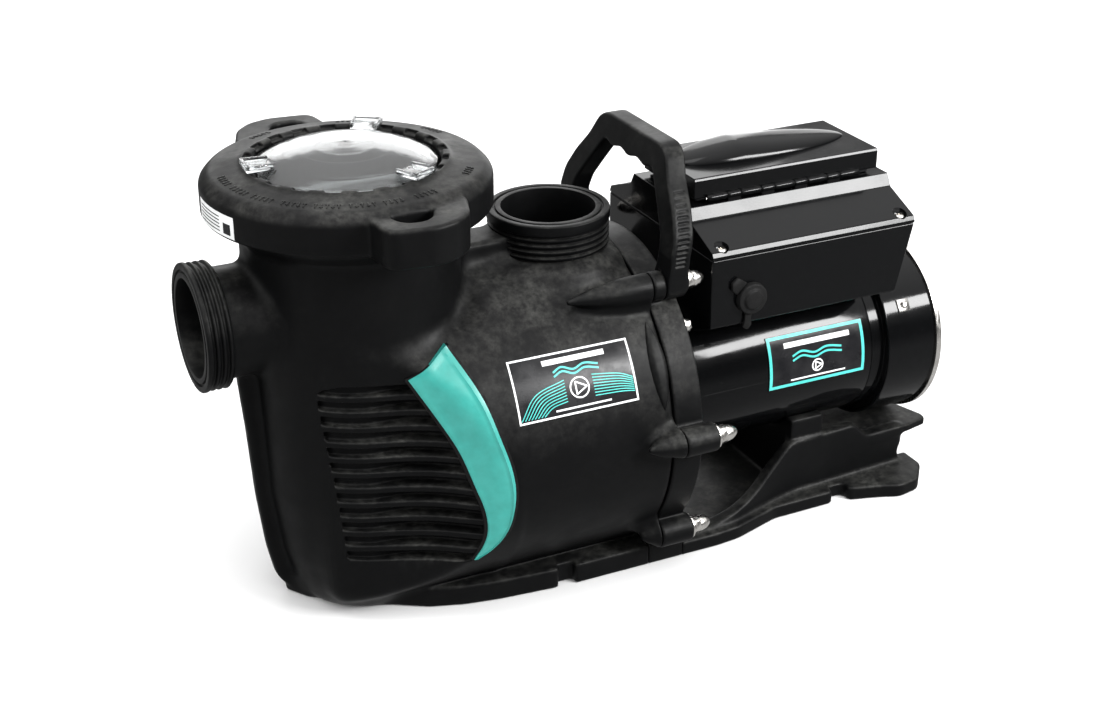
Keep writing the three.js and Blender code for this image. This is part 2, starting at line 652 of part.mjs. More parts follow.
function fanShroud() {
  const cup = onShaft([
    [SHROUD_FRONT_X, SHROUD_R - 3], [SHROUD_FRONT_X, SHROUD_R], [374, SHROUD_R],
    [SHROUD_REAR_X, SHROUD_R - 5], [SHROUD_REAR_X, 0], [375, 0], [375, SHROUD_R - 6],
    [372, SHROUD_R - 3], [SHROUD_FRONT_X, SHROUD_R - 3],
  ], 32);
  const slots = [];
  for (let i = 0; i < 9; i += 1) {
    const z = SHAFT_Z - 60 + i * 15;
    const half = Math.sqrt(72 ** 2 - (z - SHAFT_Z) ** 2);
    slots.push(box(360, 400, -half, -4, z - 3.5, z + 3.5));
    slots.push(box(360, 400, 4, half, z - 3.5, z + 3.5));
  }
  return cut(cup, ...slots);
}

// ---------------------------------------------------------------- motor base
function motorBase() {
  const x0 = BASE_SPLIT_X + GAP / 2;
  const plate = cut(footPlate(0, 14), box(-400, x0, -200, 200, -1, 30));
  const sideView = [[x0, 0], [x0, 16], [125, 18], [146, 22], [165, 27], [179, 34], [190, 42],
    [200, 50], [212, 60], [224, 69], [300, 69], [318, 52], [366, 52], [372, 44], [357, 27],
    [362, 10], [362, 0]];
  const wall = [[x0, 97], [125, 97], [150, 94], [175, 86], [200, 78], [230, 70], [362, 62],
    [362, 50], [230, 58], [200, 64], [175, 72], [150, 80], [125, 83], [x0, 84]];
  const flanks = [wall, mirrored(wall)].map((outline) =>
    prism(outline, 0, 120).intersect(sidePrism(sideView, -130, 130)));
  const cradle = box(226, 262, -66, 66, 10, 90);
  const shelf = prism(bothSides([[250, 0], [250, -62], [366, -62], [392, -56], [394, -48],
    [378, 0]]), 44, 52);
  const column = cut(box(255, 350, -58, 58, 5, 50), box(263, 400, -50, 50, -1, 44));
  const whole = join(plate, ...flanks, cradle, shelf, column);
  return cut(whole, onShaft(disc(80, 400, MOTOR_R + GAP)),
    onShaft(disc(300, 400, SHROUD_R + 1)));
}

// ---------------------------------------------------------------- drive
function driveHousing() {
  const y = DRIVE_HALF_Y;
  const top = DRIVE_JOIN_Z - GAP;
  const outline = [[-y, 222], [-60, 205], [60, 205], [y, 222], [y, top], [-y, top]];
  const block = cut(endPrism(outline, DRIVE_X0, DRIVE_X1),
    onShaft(disc(DRIVE_X0 - 5, DRIVE_X1 + 5, SHROUD_R + 1)));
  const inner = [[-y + 4, 234], [y - 4, 234], [y - 4, 300], [-y + 4, 300]];
  const room = endPrism(inner, DRIVE_X0 + 4, DRIVE_X1 - 4);
  const pads = [132, 288].map((x) => box(x - 8, x + 8, -30, 30, SHAFT_Z + 70, 236));
  const posts = COVER_SCREWS.map(([x, sy]) => turned(disc(234, top, 6.5), "z", 10, [x, sy, 0]));
  const body = join(cut(block, room), ...pads, ...posts);
  return cut(
    body,
    onShaft(disc(100, 330, MOTOR_R + GAP)),
    turned(disc(-110, -80, COMM_PORT.radius), "y", 16, [COMM_PORT.x, 0, COMM_PORT.z]),
    turned(disc(80, 110, GLAND.radius), "y", 16, [GLAND.x, 0, GLAND.z]),
    ...COVER_SCREWS.map(([x, sy]) => turned(disc(262, 300, 2.8), "z", 10, [x, sy, 0])),
  );
}

function driveCover() {
  const y = DRIVE_HALF_Y;
  const z = DRIVE_JOIN_Z;
  const outline = [[-y, z], [y, z], [y, z + 3], [56, 309], [50, DRIVE_TOP_Z],
    [-50, DRIVE_TOP_Z], [-56, 309], [-y, z + 3]];
  const inside = [[-y + 4, z - 1], [y - 4, z - 1], [48, 306], [-48, 306]];
  const shell = cut(endPrism(outline, DRIVE_X0, DRIVE_X1),
    endPrism(inside, DRIVE_X0 + 4, DRIVE_X1 - 4));
  const seats = COVER_SCREWS.map(([x, sy]) => turned(disc(z, z + 4, 7), "z", 12, [x, sy, 0])
    .intersect(box(DRIVE_X0, DRIVE_X1, -y, y, z, z + 4)));
  const holes = COVER_SCREWS.map(([x, sy]) => join(
    turned(disc(z + 4, z + 40, 6), "z", 12, [x, sy, 0]),
    turned(disc(z - 5, z + 40, 2.8), "z", 10, [x, sy, 0])));
  const knuckles = HINGE_ROOT_SPANS.map(([x0, x1]) => {
    const lug = box(x0, x1, HINGE_Y - 2.5, HINGE_Y + 1.5, DRIVE_TOP_Z - 3, KEYPAD_HINGE_Z);
    return join(lug, turned(disc(x0, x1, HINGE_R), "x", 10, [0, HINGE_Y, KEYPAD_HINGE_Z]));
  });
  return cut(join(shell, ...seats, ...knuckles), ...holes,
    turned(disc(100, 330, HINGE_BORE_R), "x", 8, [0, HINGE_Y, KEYPAD_HINGE_Z]));
}

const coverScrew = () => join(
  turned(disc(-20, 0.5, 2.3), "z", 10), turned(disc(GAP, 3.5, 4.6), "z", 12));

function portCap() {
  const plug = turned(disc(-8, 0.5, COMM_PORT.radius - GAP), "y", 16);
  return join(plug, turned([[GAP, 0], [GAP, 15], [6, 14], [9, 10], [9, 0]], "y", 20));
}

function cableGland() {
  const nut = turned(disc(GAP, 10, 16), "y", 6);
  const body = turned(disc(-8, 24, GLAND.radius - GAP), "y", 16);
  return cut(join(nut, body), turned(disc(-20, 40, 5), "y", 12));
}

const controlBoard = () => box(DRIVE_X0 + 26, DRIVE_X1 - 26, -78, 78, 268, 271);

function keypadPanel() {
  const panel = box(KEYPAD_X0 + 6, KEYPAD_X1 - 6, -40, 40, DRIVE_TOP_Z + GAP, 326);
  const wells = BUTTONS.map(({ x, y }) => box(x - 6.3, x + 6.3, y - 5.3, y + 5.3, 322, 330));
  return cut(panel, ...wells, box(190.7, 245.3, -4.3, 24.3, 324, 330));
}

const displayWindow = () => box(191, 245, -4, 24, 324 + GAP, 326.6);

function button() {
  const [length, width, height] = BUTTON_SIZE;
  return box(-length / 2, length / 2, -width / 2, width / 2, 0, height);
}

function keypadCover() {
  const y = KEYPAD_HALF_Y;
  const z0 = KEYPAD_HINGE_Z;
  const top = KEYPAD_COVER_TOP_Z;
  const outline = [[-y, z0], [-y, top - 3], [-y + 3, top], [y - 3, top], [y, top - 3],
    [y, z0 - 3], [y - 3, z0 - 3], [y - 3, top - 3], [-y + 4, top - 3], [-y + 4, z0]];
  const skin = endPrism(outline, KEYPAD_X0, KEYPAD_X1);
  const ends = [[KEYPAD_X0, KEYPAD_X0 + 3], [KEYPAD_X1 - 3, KEYPAD_X1]].map(([a, b]) =>
    box(a, b, -y + 0.5, y - 0.5, z0, top - 2));
  const knuckles = HINGE_COVER_SPANS.map(([x0, x1]) =>
    turned(disc(x0, x1, HINGE_R), "x", 10, [0, HINGE_Y, z0]));
  const slots = HINGE_ROOT_SPANS.map(([x0, x1]) =>
    turned(disc(x0 - 1, x1 + 1, HINGE_R + 0.6), "x", 10, [0, HINGE_Y, z0]));
  const bore = turned(disc(100, 330, HINGE_BORE_R), "x", 8, [0, HINGE_Y, z0]);
  return cut(join(skin, ...ends, ...knuckles, keypadHump()), ...slots, bore);
}

// The raised tear-drop on the keypad cover, blunt at the pump end and pointed at the motor end.
function keypadHump() {
  const outline = [[126, -26], [160, -34], [200, -36], [240, -31], [280, -15], [308, 2],
    [280, 20], [240, 34], [200, 40], [160, 40], [126, 34]];
  const middle = [190, 3];
  const rings = [[1, -2], [0.98, 3], [0.86, 7], [0.62, 10], [0.3, 12]].map(([size, height]) =>
    outline.map(([x, y]) => [
      middle[0] + (x - middle[0]) * size,
      middle[1] + (y - middle[1]) * size,
      KEYPAD_COVER_TOP_Z + height,
    ]));
  return loft(rings);
}

const hingePin = () =>
  turned(disc(132, 294, HINGE_PIN_R), "x", 8, [0, HINGE_Y, KEYPAD_HINGE_Z]);

const driveGasket = () => cut(
  box(DRIVE_X0 + 21, DRIVE_X1 - 21, -DRIVE_HALF_Y + 4.3, DRIVE_HALF_Y - 4.3, 283, 286.4),
  box(DRIVE_X0 + 24, DRIVE_X1 - 24, -DRIVE_HALF_Y + 8, DRIVE_HALF_Y - 8, 280, 290),
);

// A curved label on the near side of the motor, between two angles from straight up.
const motorLabel = () => labelBlank(190, 296, 58, 96, MOTOR_R + GAP, MOTOR_R + 1);

// The seal spring is one wire coiled round the shaft.
function sealSpring() {
  const turns = 2;
  const stepsPerTurn = 9;
  const radius = 21;
  const points = [];
  for (let i = 0; i <= turns * stepsPerTurn; i += 1) {
    const angle = (i / stepsPerTurn) * 2 * Math.PI;
    points.push([43.4 + (i * 5.4) / (turns * stepsPerTurn), radius * Math.cos(angle),
      SHAFT_Z + radius * Math.sin(angle)]);
  }
  return rod(points, 1, turns * stepsPerTurn, 5);
}

// ---------------------------------------------------------------- assembly
piece(pump, "pump_body", pumpBody(), MOULDED);
piece(pump, "stripe_near", stripe(-1), TEAL);
piece(pump, "stripe_far", stripe(1), TEAL);
piece(pump, "volute_label", voluteLabel(), LABEL);
piece(pump, "seal_plate", sealPlate(), MOULDED);
piece(pump, "carry_handle", carryHandle(), MOULDED);
piece(pump, "body_o_ring", bodyRing(), RUBBER);
piece(pump, "diffuser", diffuser(), MOULDED);
piece(pump, "wear_ring", wearRing(), BASKET);
piece(pump, "seal_seat", sealSeat(), CERAMIC);

const turning = group(pump, [0, 0, 0]);
piece(turning, "motor_shaft", motorShaft(), STEEL);
piece(turning, "impeller", impeller(), MOULDED);
piece(turning, "impeller_screw", impellerScrew(), STEEL);
piece(turning, "seal_head", sealHead(), RUBBER);
piece(turning, "seal_spring", sealSpring(), STEEL);
piece(turning, "rotor_core", rotorCore(), IRON);
piece(turning, "cooling_fan", coolingFan(), MOULDED);

const motor = group(pump, [0, 0, 0]);
piece(motor, "front_end_bell", frontEndBell(), GLOSS);
piece(motor, "front_bearing", bearing(101, 117, 10.3), STEEL);
piece(motor, "motor_shell", motorShell(), GLOSS);
piece(motor, "stator_core", statorCore(), IRON);
piece(motor, "stator_winding", statorWinding(), COPPER);
piece(motor, "rear_bearing", bearing(290, 304, 8.8), STEEL);
piece(motor, "rear_end_bell", rearEndBell(), GLOSS);
piece(motor, "fan_shroud", fanShroud(), GLOSS);
piece(motor, "motor_label", motorLabel(), LABEL);
piece(motor, "motor_base", motorBase(), MOULDED);

BOLT_ANGLES.forEach((degrees, i) => {
  const [y, z] = boltPlace(degrees);
  piece(pump, `body_bolt_${i + 1}`, bodyBolt(), STEEL, [0, y, z]);
});
DRAINS.forEach(({ name, x, y }) => {
  piece(pump, `${name}_drain_plug`, drainPlug(), MOULDED, [x, y, DRAIN_Z]);
});

const lid = group(pump, [0, 0, 0]);
piece(lid, "clamp_ring", clampRing(), MOULDED);
piece(lid, "clear_lid", clearLid(), CLEAR);
piece(lid, "lid_o_ring", lidRing(), RUBBER);
piece(pump, "strainer_basket", strainerBasket(), BASKET);

const drive = group(pump, [0, 0, 0]);
piece(drive, "drive_housing", driveHousing(), GLOSS);
piece(drive, "drive_cover", driveCover(), GLOSS);
piece(drive, "drive_gasket", driveGasket(), RUBBER);
piece(drive, "control_board", controlBoard(), BOARD);
piece(drive, "port_cap", portCap(), RUBBER, [COMM_PORT.x, -DRIVE_HALF_Y, COMM_PORT.z], [0, 0, Math.PI]);
piece(drive, "cable_gland", cableGland(), MOULDED, [GLAND.x, DRIVE_HALF_Y, GLAND.z]);
piece(drive, "keypad_panel", keypadPanel(), LABEL);
piece(drive, "display_window", displayWindow(), CLEAR);
piece(drive, "keypad_cover", keypadCover(), GLOSS);
piece(drive, "hinge_pin", hingePin(), STEEL);
COVER_SCREWS.forEach(([x, y], i) => {
  piece(drive, `cover_screw_${i + 1}`, coverScrew(), STEEL, [x, y, DRIVE_JOIN_Z + 4]);
});
BUTTONS.forEach(({ name, x, y }) => {
  piece(drive, `button_${name}`, button(), BUTTON, [x, y, BUTTON_Z]);
});

export default pump;
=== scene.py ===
"""A self-priming pool pump with a variable-speed motor, drawn around its CAD frame.

Lengths in this script are in millimetres, and are turned into metres as each mesh is made.
X runs along the shaft towards the motor, Z is up, and the origin is under the discharge port.
"""

import math

import bmesh
import bpy
import numpy as np
import openvdb
from mathutils import Matrix, Vector


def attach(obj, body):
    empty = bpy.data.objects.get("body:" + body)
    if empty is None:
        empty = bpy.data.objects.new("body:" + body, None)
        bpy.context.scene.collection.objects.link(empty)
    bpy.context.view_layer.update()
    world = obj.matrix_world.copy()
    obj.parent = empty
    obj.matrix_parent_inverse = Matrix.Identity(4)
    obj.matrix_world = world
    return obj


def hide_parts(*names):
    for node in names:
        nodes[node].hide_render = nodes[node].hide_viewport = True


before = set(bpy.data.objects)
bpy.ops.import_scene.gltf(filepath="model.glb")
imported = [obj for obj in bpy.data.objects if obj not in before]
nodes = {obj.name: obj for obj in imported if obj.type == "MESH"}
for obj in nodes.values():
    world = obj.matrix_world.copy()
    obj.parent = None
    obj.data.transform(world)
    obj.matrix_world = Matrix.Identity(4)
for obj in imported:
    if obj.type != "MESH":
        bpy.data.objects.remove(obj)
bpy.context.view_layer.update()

# ---------------------------------------------------------------- driving dimensions
MM = 0.001
GAP = 0.3
SHAFT_Z = 143
SHAFT = (0, 0, SHAFT_Z)
POT_X = -184
POT_AXIS = (POT_X, 0, 0)
POT_R = 92
POT_RIM_Z = 372
PORT_BORE_R = 42
PORT_NECK_R = 47
PORT_THREAD_R = 54.5
SUCTION_Z = 271
SUCTION_FACE_X = -326
DISCHARGE_FACE_Z = 325
VOLUTE_R = 146
VOLUTE_WALL = 8
PARTING_X = 52
PLATE_BACK_X = 80
BASE_SPLIT_X = 87
MOTOR_R = 77
SHROUD_R = 86
BOLT_CIRCLE_R = 157
BOLT_ANGLES = [35, 87, 131, -131, -87, -35]
HANDLE_ANGLES = [35, -35]
RING_R = 121
RING_Z = 357.5
RING_OPENING_R = 78.5
DRIVE_X0 = 112
DRIVE_X1 = 325
DRIVE_HALF_Y = 97
DRIVE_JOIN_Z = 287
DRIVE_TOP_Z = 320
KEYPAD_X0 = 121
KEYPAD_X1 = 315
KEYPAD_HALF_Y = 46
DRIVE_PORT = (152, 0, 246)
HINGE_Y = -47.5
HINGE_Z = 325
HINGE_R = 3.2
HINGE_BORE_R = 1.9
HINGE_PITCH = 35
COVER_KNUCKLES = [(133 + HINGE_PITCH * i, 153 + HINGE_PITCH * i) for i in range(5)]
ROOT_KNUCKLES = [(154 + HINGE_PITCH * i, 167 + HINGE_PITCH * i) for i in range(4)]
COVER_SCREWS = [(x, y) for x in (125, 313) for y in (-89, 89)]
KEYPAD_COVER_TOP_Z = 344
DRAIN_Z = 32
DRAINS = {"pot": (-178, 108), "volute": (-62, 112)}

# ---------------------------------------------------------------- outlines and distances
FAR = 1000.0


def rounded(outline, radius, steps=4):
    """The outline with each corner turned into a short curve."""
    made = []
    for i, corner in enumerate(outline):
        corner = np.array(corner, float)
        ends = []
        for other in (outline[i - 1], outline[(i + 1) % len(outline)]):
            way = np.array(other, float) - corner
            length = max(np.linalg.norm(way), 1e-6)
            ends.append(corner + way * min(radius / length, 0.5))
        for s in np.linspace(0, 1, steps + 1):
            point = (1 - s) ** 2 * ends[0] + 2 * s * (1 - s) * corner + s * s * ends[1]
            made.append(tuple(point))
    return made


def mirrored_outline(half):
    """A closed outline from one half, whose first and last points lie on the centre line."""
    return list(half) + [(x, -y) for x, y in reversed(half[1:-1])]


def outline_distance(outline, u, v):
    """How far points (u, v) are outside a closed outline, less than zero inside it."""
    nearest = np.float32(FAR ** 2)
    inside = False
    for (u0, v0), (u1, v1) in zip(outline, outline[1:] + outline[:1]):
        du, dv = u1 - u0, v1 - v0
        if du == 0 and dv == 0:
            continue
        share = np.clip(((u - u0) * du + (v - v0) * dv) / (du * du + dv * dv), 0, 1)
        nearest = np.minimum(nearest, (u - u0 - share * du) ** 2 + (v - v0 - share * dv) ** 2)
        if dv:
            crosses = ((v0 > v) != (v1 > v)) & (u < u0 + (v - v0) * du / dv)
            inside = inside ^ crosses
    away = np.sqrt(nearest)
    return np.where(inside, -away, away).astype(np.float32)


def smooth_join(a, b, blend):
    share = np.clip(0.5 + 0.5 * (b - a) / blend, 0, 1)
    return (b + (a - b) * share - blend * share * (1 - share)).astype(np.float32)


def smooth_common(a, b, blend):
    return -smooth_join(-a, -b, blend)


AXES = {"x": (0, 1, 2), "y": (1, 0, 2), "z": (2, 0, 1)}
TABLE_STEP = 0.5
TABLE_MARGIN = 30


def turned(profile, axis, centre=(0, 0, 0), corner=2.0):
    """Distance to a profile of (along, radius) points turned round an axis through centre."""
    past_axis = -60
    outline = [(along, radius or past_axis) for along, radius in profile]
    outline = rounded(outline, corner)
    low = min(p[0] for p in outline) - TABLE_MARGIN
    high = max(p[0] for p in outline) + TABLE_MARGIN
    reach = max(p[1] for p in outline) + TABLE_MARGIN
    along = np.arange(low, high, TABLE_STEP)
    radius = np.arange(0, reach, TABLE_STEP)
    table = outline_distance(outline, along[:, None], radius[None, :])
    main, second, third = AXES[axis]

    def distance(x, y, z):
        place = [x - centre[0], y - centre[1], z - centre[2]]
        i = np.clip((place[main] - low) / TABLE_STEP, 0, len(along) - 1.001)
        j = np.clip(np.hypot(place[second], place[third]) / TABLE_STEP, 0, len(radius) - 1.001)
        i0, j0 = i.astype(np.int32), j.astype(np.int32)
        fi, fj = (i - i0).astype(np.float32), (j - j0).astype(np.float32)
        near = table[i0, j0] * (1 - fj) + table[i0, j0 + 1] * fj
        far = table[i0 + 1, j0] * (1 - fj) + table[i0 + 1, j0 + 1] * fj
        return near * (1 - fi) + far * fi

    return distance


def drawn(outline, axis, low, high, edge=2.0, corner=3.0):
    """Distance to an outline drawn out along an axis from low to high, with rounded edges."""
    outline = rounded(outline, corner) if corner else outline
    main, second, third = AXES[axis]

    def distance(x, y, z):
        place = [x, y, z]
        side = outline_distance(outline, place[second], place[third])
        ends = np.maximum(low - place[main], place[main] - high)
        return smooth_common(side, ends, edge)

    return distance


def block(x0, x1, y0, y1, z0, z1, edge=2.0):
    """Distance to a box with rounded edges."""
    return drawn([(x0, y0), (x1, y0), (x1, y1), (x0, y1)], "z", z0, z1, edge, edge)


def between(x0, x1):
    """Distance to all the room above the floor between two planes across the shaft."""
    return block(x0, x1, -300, 300, 0, 400, 0.6)


def disc(low, high, radius):
    """The profile of a plain disc, for a turned shape."""
    return [(low, 0), (low, radius), (high, radius), (high, 0)]


def around(x0, x1, y, z, reach):
    """The corners of a box round a line along X."""
    return (x0, y - reach, z - reach), (x1, y + reach, z + reach)


def bolt_place(degrees, radius=BOLT_CIRCLE_R):
    """Where a bolt sits round the shaft: (y, z) at an angle from straight up, plus towards -Y."""
    angle = math.radians(degrees)
    return -radius * math.sin(angle), SHAFT_Z + radius * math.cos(angle)


def fineness(fine):
    return fine


class Moulding:
    """A block of space, holding the distance to one solid's surface at each grid point."""

    def __init__(self, low, high, step):
        self.low, self.step = low, step
        counts = [int((high[k] - low[k]) / step) + 2 for k in range(3)]
        self.axis = [low[k] + step * np.arange(counts[k], dtype=np.float32) for k in range(3)]
        self.distance = np.full(counts, FAR, np.float32)

    def part(self, low, high):
        """The grid points inside a box, and their x, y and z."""
        cells = []
        for k in range(3):
            if low is None:
                cells.append(slice(None))
                continue
            first, last = np.searchsorted(self.axis[k], (low[k], high[k]))
            cells.append(slice(max(first - 1, 0), last + 1))
        x, y, z = (self.axis[k][cells[k]] for k in range(3))
        return tuple(cells), (x[:, None, None], y[None, :, None], z[None, None, :])

    def join(self, shape, low=None, high=None, blend=2.0):
        cells, place = self.part(low, high)
        self.distance[cells] = smooth_join(self.distance[cells], shape(*place), blend)
        return self

    def cut(self, shape, low=None, high=None, blend=1.0):
        cells, place = self.part(low, high)
        self.distance[cells] = -smooth_join(-self.distance[cells], shape(*place), blend)
        return self

    def keep(self, shape, blend=1.0):
        cells, place = self.part(None, None)
        self.distance[cells] = smooth_common(self.distance[cells], shape(*place), blend)
        return self

    def mesh(self, name, share=1.0):
        """The solid's skin as an object, with the given share of its faces."""
        grid = openvdb.FloatGrid()
        self.distance[[0, -1], :, :] = np.maximum(self.distance[[0, -1], :, :], 0.01)
        self.distance[:, [0, -1], :] = np.maximum(self.distance[:, [0, -1], :], 0.01)
        self.distance[:, :, [0, -1]] = np.maximum(self.distance[:, :, [0, -1]], 0.01)
        grid.copyFromArray(self.distance)
        points, quads = grid.convertToQuads(0.0)
        points = points * self.step + np.array(self.low)
        made = new_object(name, points, quads[:, ::-1])
        if share < 1:
            thin = made.modifiers.new("thin", "DECIMATE")
            thin.ratio = share
            apply_modifiers(made)
        made.data.shade_smooth()
        return made


# ---------------------------------------------------------------- mesh helpers
def new_object(name, points, faces):
    mesh = bpy.data.meshes.new(name)
    mesh.from_pydata(np.asarray(points, float) * MM, [], [tuple(f) for f in faces])
    mesh.update()
    made = bpy.data.objects.new(name, mesh)
    bpy.context.scene.collection.objects.link(made)
    return made


def smooth(made, degrees=35):
    made.data.shade_smooth()
    made.data.set_sharp_from_angle(angle=math.radians(degrees))


def apply_modifiers(made):
    graph = bpy.context.evaluated_depsgraph_get()
    result = bpy.data.meshes.new_from_object(made.evaluated_get(graph))
    made.modifiers.clear()
    made.data = result
    return made


def bevelled(made, width, segments=3, degrees=25):
    """Rounds the edges between flat faces. It works on CAD nodes too, by modifiers alone."""
    weld = made.modifiers.new("weld", "WELD")
    weld.merge_threshold = 0.00002
    bevel = made.modifiers.new("bevel", "BEVEL")
    bevel.width = width * MM
    bevel.segments = segments
    bevel.limit_method = "ANGLE"
    bevel.angle_limit = math.radians(degrees)
    bevel.harden_normals = True
    return made


def lathe(name, profile, axis, centre=(0, 0, 0), segments=96, corner=1.0, steps=3):
    """A turned piece. The profile is closed, and its points are (along, radius)."""
    outline = rounded(profile, corner, steps) if corner else list(profile)
    main, second, third = AXES[axis]
    points, faces = [], []
    for i in range(segments):
        angle = 2 * math.pi * i / segments
        for along, radius in outline:
            place = [0, 0, 0]
            place[main] = along
            place[second] = max(radius, 0) * math.cos(angle)
            place[third] = max(radius, 0) * math.sin(angle)
            points.append([place[k] + centre[k] for k in range(3)])
    count = len(outline)
    for i in range(segments):
        for j in range(count):
            a, b = i * count + j, i * count + (j + 1) % count
            c, d = ((i + 1) % segments) * count + (j + 1) % count, ((i + 1) % segments) * count + j
            faces.append((a, b, c, d))
    made = new_object(name, points, faces)
    tidy_faces(made)
    smooth(made)
    return made


def tidy_faces(made):
    """Merges points that coincide, drops faces without area, and turns the rest outwards."""
    work = bmesh.new()
    work.from_mesh(made.data)
    bmesh.ops.remove_doubles(work, verts=work.verts, dist=2e-6)
    bmesh.ops.dissolve_degenerate(work, edges=work.edges, dist=1e-6)
    bmesh.ops.recalc_face_normals(work, faces=work.faces)
    work.to_mesh(made.data)
    work.free()


def prism(name, outline, axis, low, high, bevel=1.0, corner=0.0):
    """An outline drawn out along an axis, with bevelled edges."""
    outline = rounded(outline, corner) if corner else list(outline)
    main, second, third = AXES[axis]
    points = []
    for along in (low, high):
        for u, v in outline:
            place = [0, 0, 0]
            place[main], place[second], place[third] = along, u, v
            points.append(place)
    count = len(outline)
    faces = [tuple(range(count)), tuple(range(2 * count - 1, count - 1, -1))]
    faces += [(i, (i + 1) % count, count + (i + 1) % count, count + i) for i in range(count)]
    made = new_object(name, points, faces)
    tidy_faces(made)
    if bevel:
        bevelled(made, bevel)
        apply_modifiers(made)
    smooth(made)
    return made


def merged(name, *objects):
    """Several meshes as one piece."""
    work = bmesh.new()
    for made in objects:
        work.from_mesh(made.data)
        bpy.data.objects.remove(made)
    mesh = bpy.data.meshes.new(name)
    work.to_mesh(mesh)
    work.free()
    result = bpy.data.objects.new(name, mesh)
    bpy.context.scene.collection.objects.link(result)
    return result


def moved(made, offset):
    made.data.transform(Matrix.Translation(Vector(offset) * MM))
    return made


def slab(x0, x1, y0, y1, z0, z1, bevel=0.0):
    return prism("slab", [(x0, y0), (x1, y0), (x1, y1), (x0, y1)], "z", z0, z1, bevel)


def carved(made, *tools):
    """The piece with the volume of each tool cut out of it."""
    for tool in tools:
        step = made.modifiers.new("carve", "BOOLEAN")
        step.operation = "DIFFERENCE"
        step.solver = "EXACT"
        step.object = tool
        apply_modifiers(made)
        bpy.data.objects.remove(tool)
    return made


def flat_faces(made, degrees=27):
    """Keeps large faces flat to the eye beside their rounded edges."""
    smooth(made, degrees)
    weighted = made.modifiers.new("weighted", "WEIGHTED_NORMAL")
    weighted.weight = 90
    weighted.keep_sharp = True
    return apply_modifiers(made)


def place(made, body, look, *replaced):
    """Puts a finished piece in the model with its finish, and hides the CAD nodes that it
    replaces.
    """
    made.data.materials.clear()
    made.data.materials.append(LOOKS[look])
    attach(made, body)
    if replaced:
        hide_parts(*replaced)
    return made


# ---------------------------------------------------------------- materials
JET = (0.0018, 0.0019, 0.0021)


class Finish:
    """A procedural material in the making: one principled shader and helpers round it."""

    def __init__(self, name, **values):
        self.material = bpy.data.materials.new(name)
        self.material.use_nodes = True
        self.tree = self.material.node_tree
        self.shader = next(n for n in self.tree.nodes if n.type == "BSDF_PRINCIPLED")
        self.place = self.tree.nodes.new("ShaderNodeTexCoord").outputs["Object"]
        self.height = None
        for socket, value in values.items():
            self.shader.inputs[socket.replace("_", " ")].default_value = value

    def link(self, source, target):
        self.tree.links.new(source, target)

    def noise(self, size_mm, detail=3.0, rough=0.55, stretch=(1, 1, 1)):
        """Noise from 0 to 1 whose lumps are about size_mm across."""
        mapping = self.tree.nodes.new("ShaderNodeMapping")
        mapping.inputs["Scale"].default_value = [1 / s for s in stretch]
        self.link(self.place, mapping.inputs["Vector"])
        node = self.tree.nodes.new("ShaderNodeTexNoise")
        node.inputs["Scale"].default_value = 1000 / size_mm
        node.inputs["Detail"].default_value = detail
        node.inputs["Roughness"].default_value = rough
        self.link(mapping.outputs[0], node.inputs["Vector"])
        return node.outputs["Fac"]

    def cells(self, size_mm):
        node = self.tree.nodes.new("ShaderNodeTexVoronoi")
        node.inputs["Scale"].default_value = 1000 / size_mm
        self.link(self.place, node.inputs["Vector"])
        return node.outputs["Distance"]

    def span(self, source, low, high, start=0.35, end=0.65):
        """The source from start to end, turned into values from low to high."""
        node = self.tree.nodes.new("ShaderNodeMapRange")
        for socket, value in zip(("From Min", "From Max", "To Min", "To Max"),
                                 (start, end, low, high)):
            node.inputs[socket].default_value = value
        self.link(source, node.inputs["Value"])
        return node.outputs["Result"]

    def math(self, kind, a, b):
        node = self.tree.nodes.new("ShaderNodeMath")
        node.operation = kind
        for socket, value in zip(node.inputs, (a, b)):
            if isinstance(value, (int, float)):
                socket.default_value = value
            else:
                self.link(value, socket)
        return node.outputs[0]

    def colours(self, source, first, second):
        """The first colour where the source is 0, and the second where it is 1."""
        node = self.tree.nodes.new("ShaderNodeMix")
        node.data_type = "RGBA"
        self.link(source, node.inputs["Factor"])
        for socket, value in zip("AB", (first, second)):
            if isinstance(value, tuple):
                node.inputs[socket].default_value = (*value, 1)
            else:
                self.link(value, node.inputs[socket])
        return node.outputs["Result"]

    def colour(self, source):
        self.link(source, self.shader.inputs["Base Color"])

    def roughness(self, source):
        self.link(source, self.shader.inputs["Roughness"])

    def bump(self, source, depth_mm, strength=1.0):
        node = self.tree.nodes.new("ShaderNodeBump")
        node.inputs["Distance"].default_value = depth_mm * MM
        node.inputs["Strength"].default_value = strength
        self.link(source, node.inputs["Height"])
        if self.height is not None:
            self.link(self.height, node.inputs["Normal"])
        self.height = node.outputs["Normal"]
        self.link(self.height, self.shader.inputs["Normal"])

    def edge_wear_and_highlight(self, low=0.54, high=0.66):
        """0 on flats and 1 on sharp outer edges; it masks the lighter edges, partly wear and
        partly a painted highlight.
        """
        node = self.tree.nodes.new("ShaderNodeNewGeometry")
        return self.span(node.outputs["Pointiness"], 0, 1, low, high)


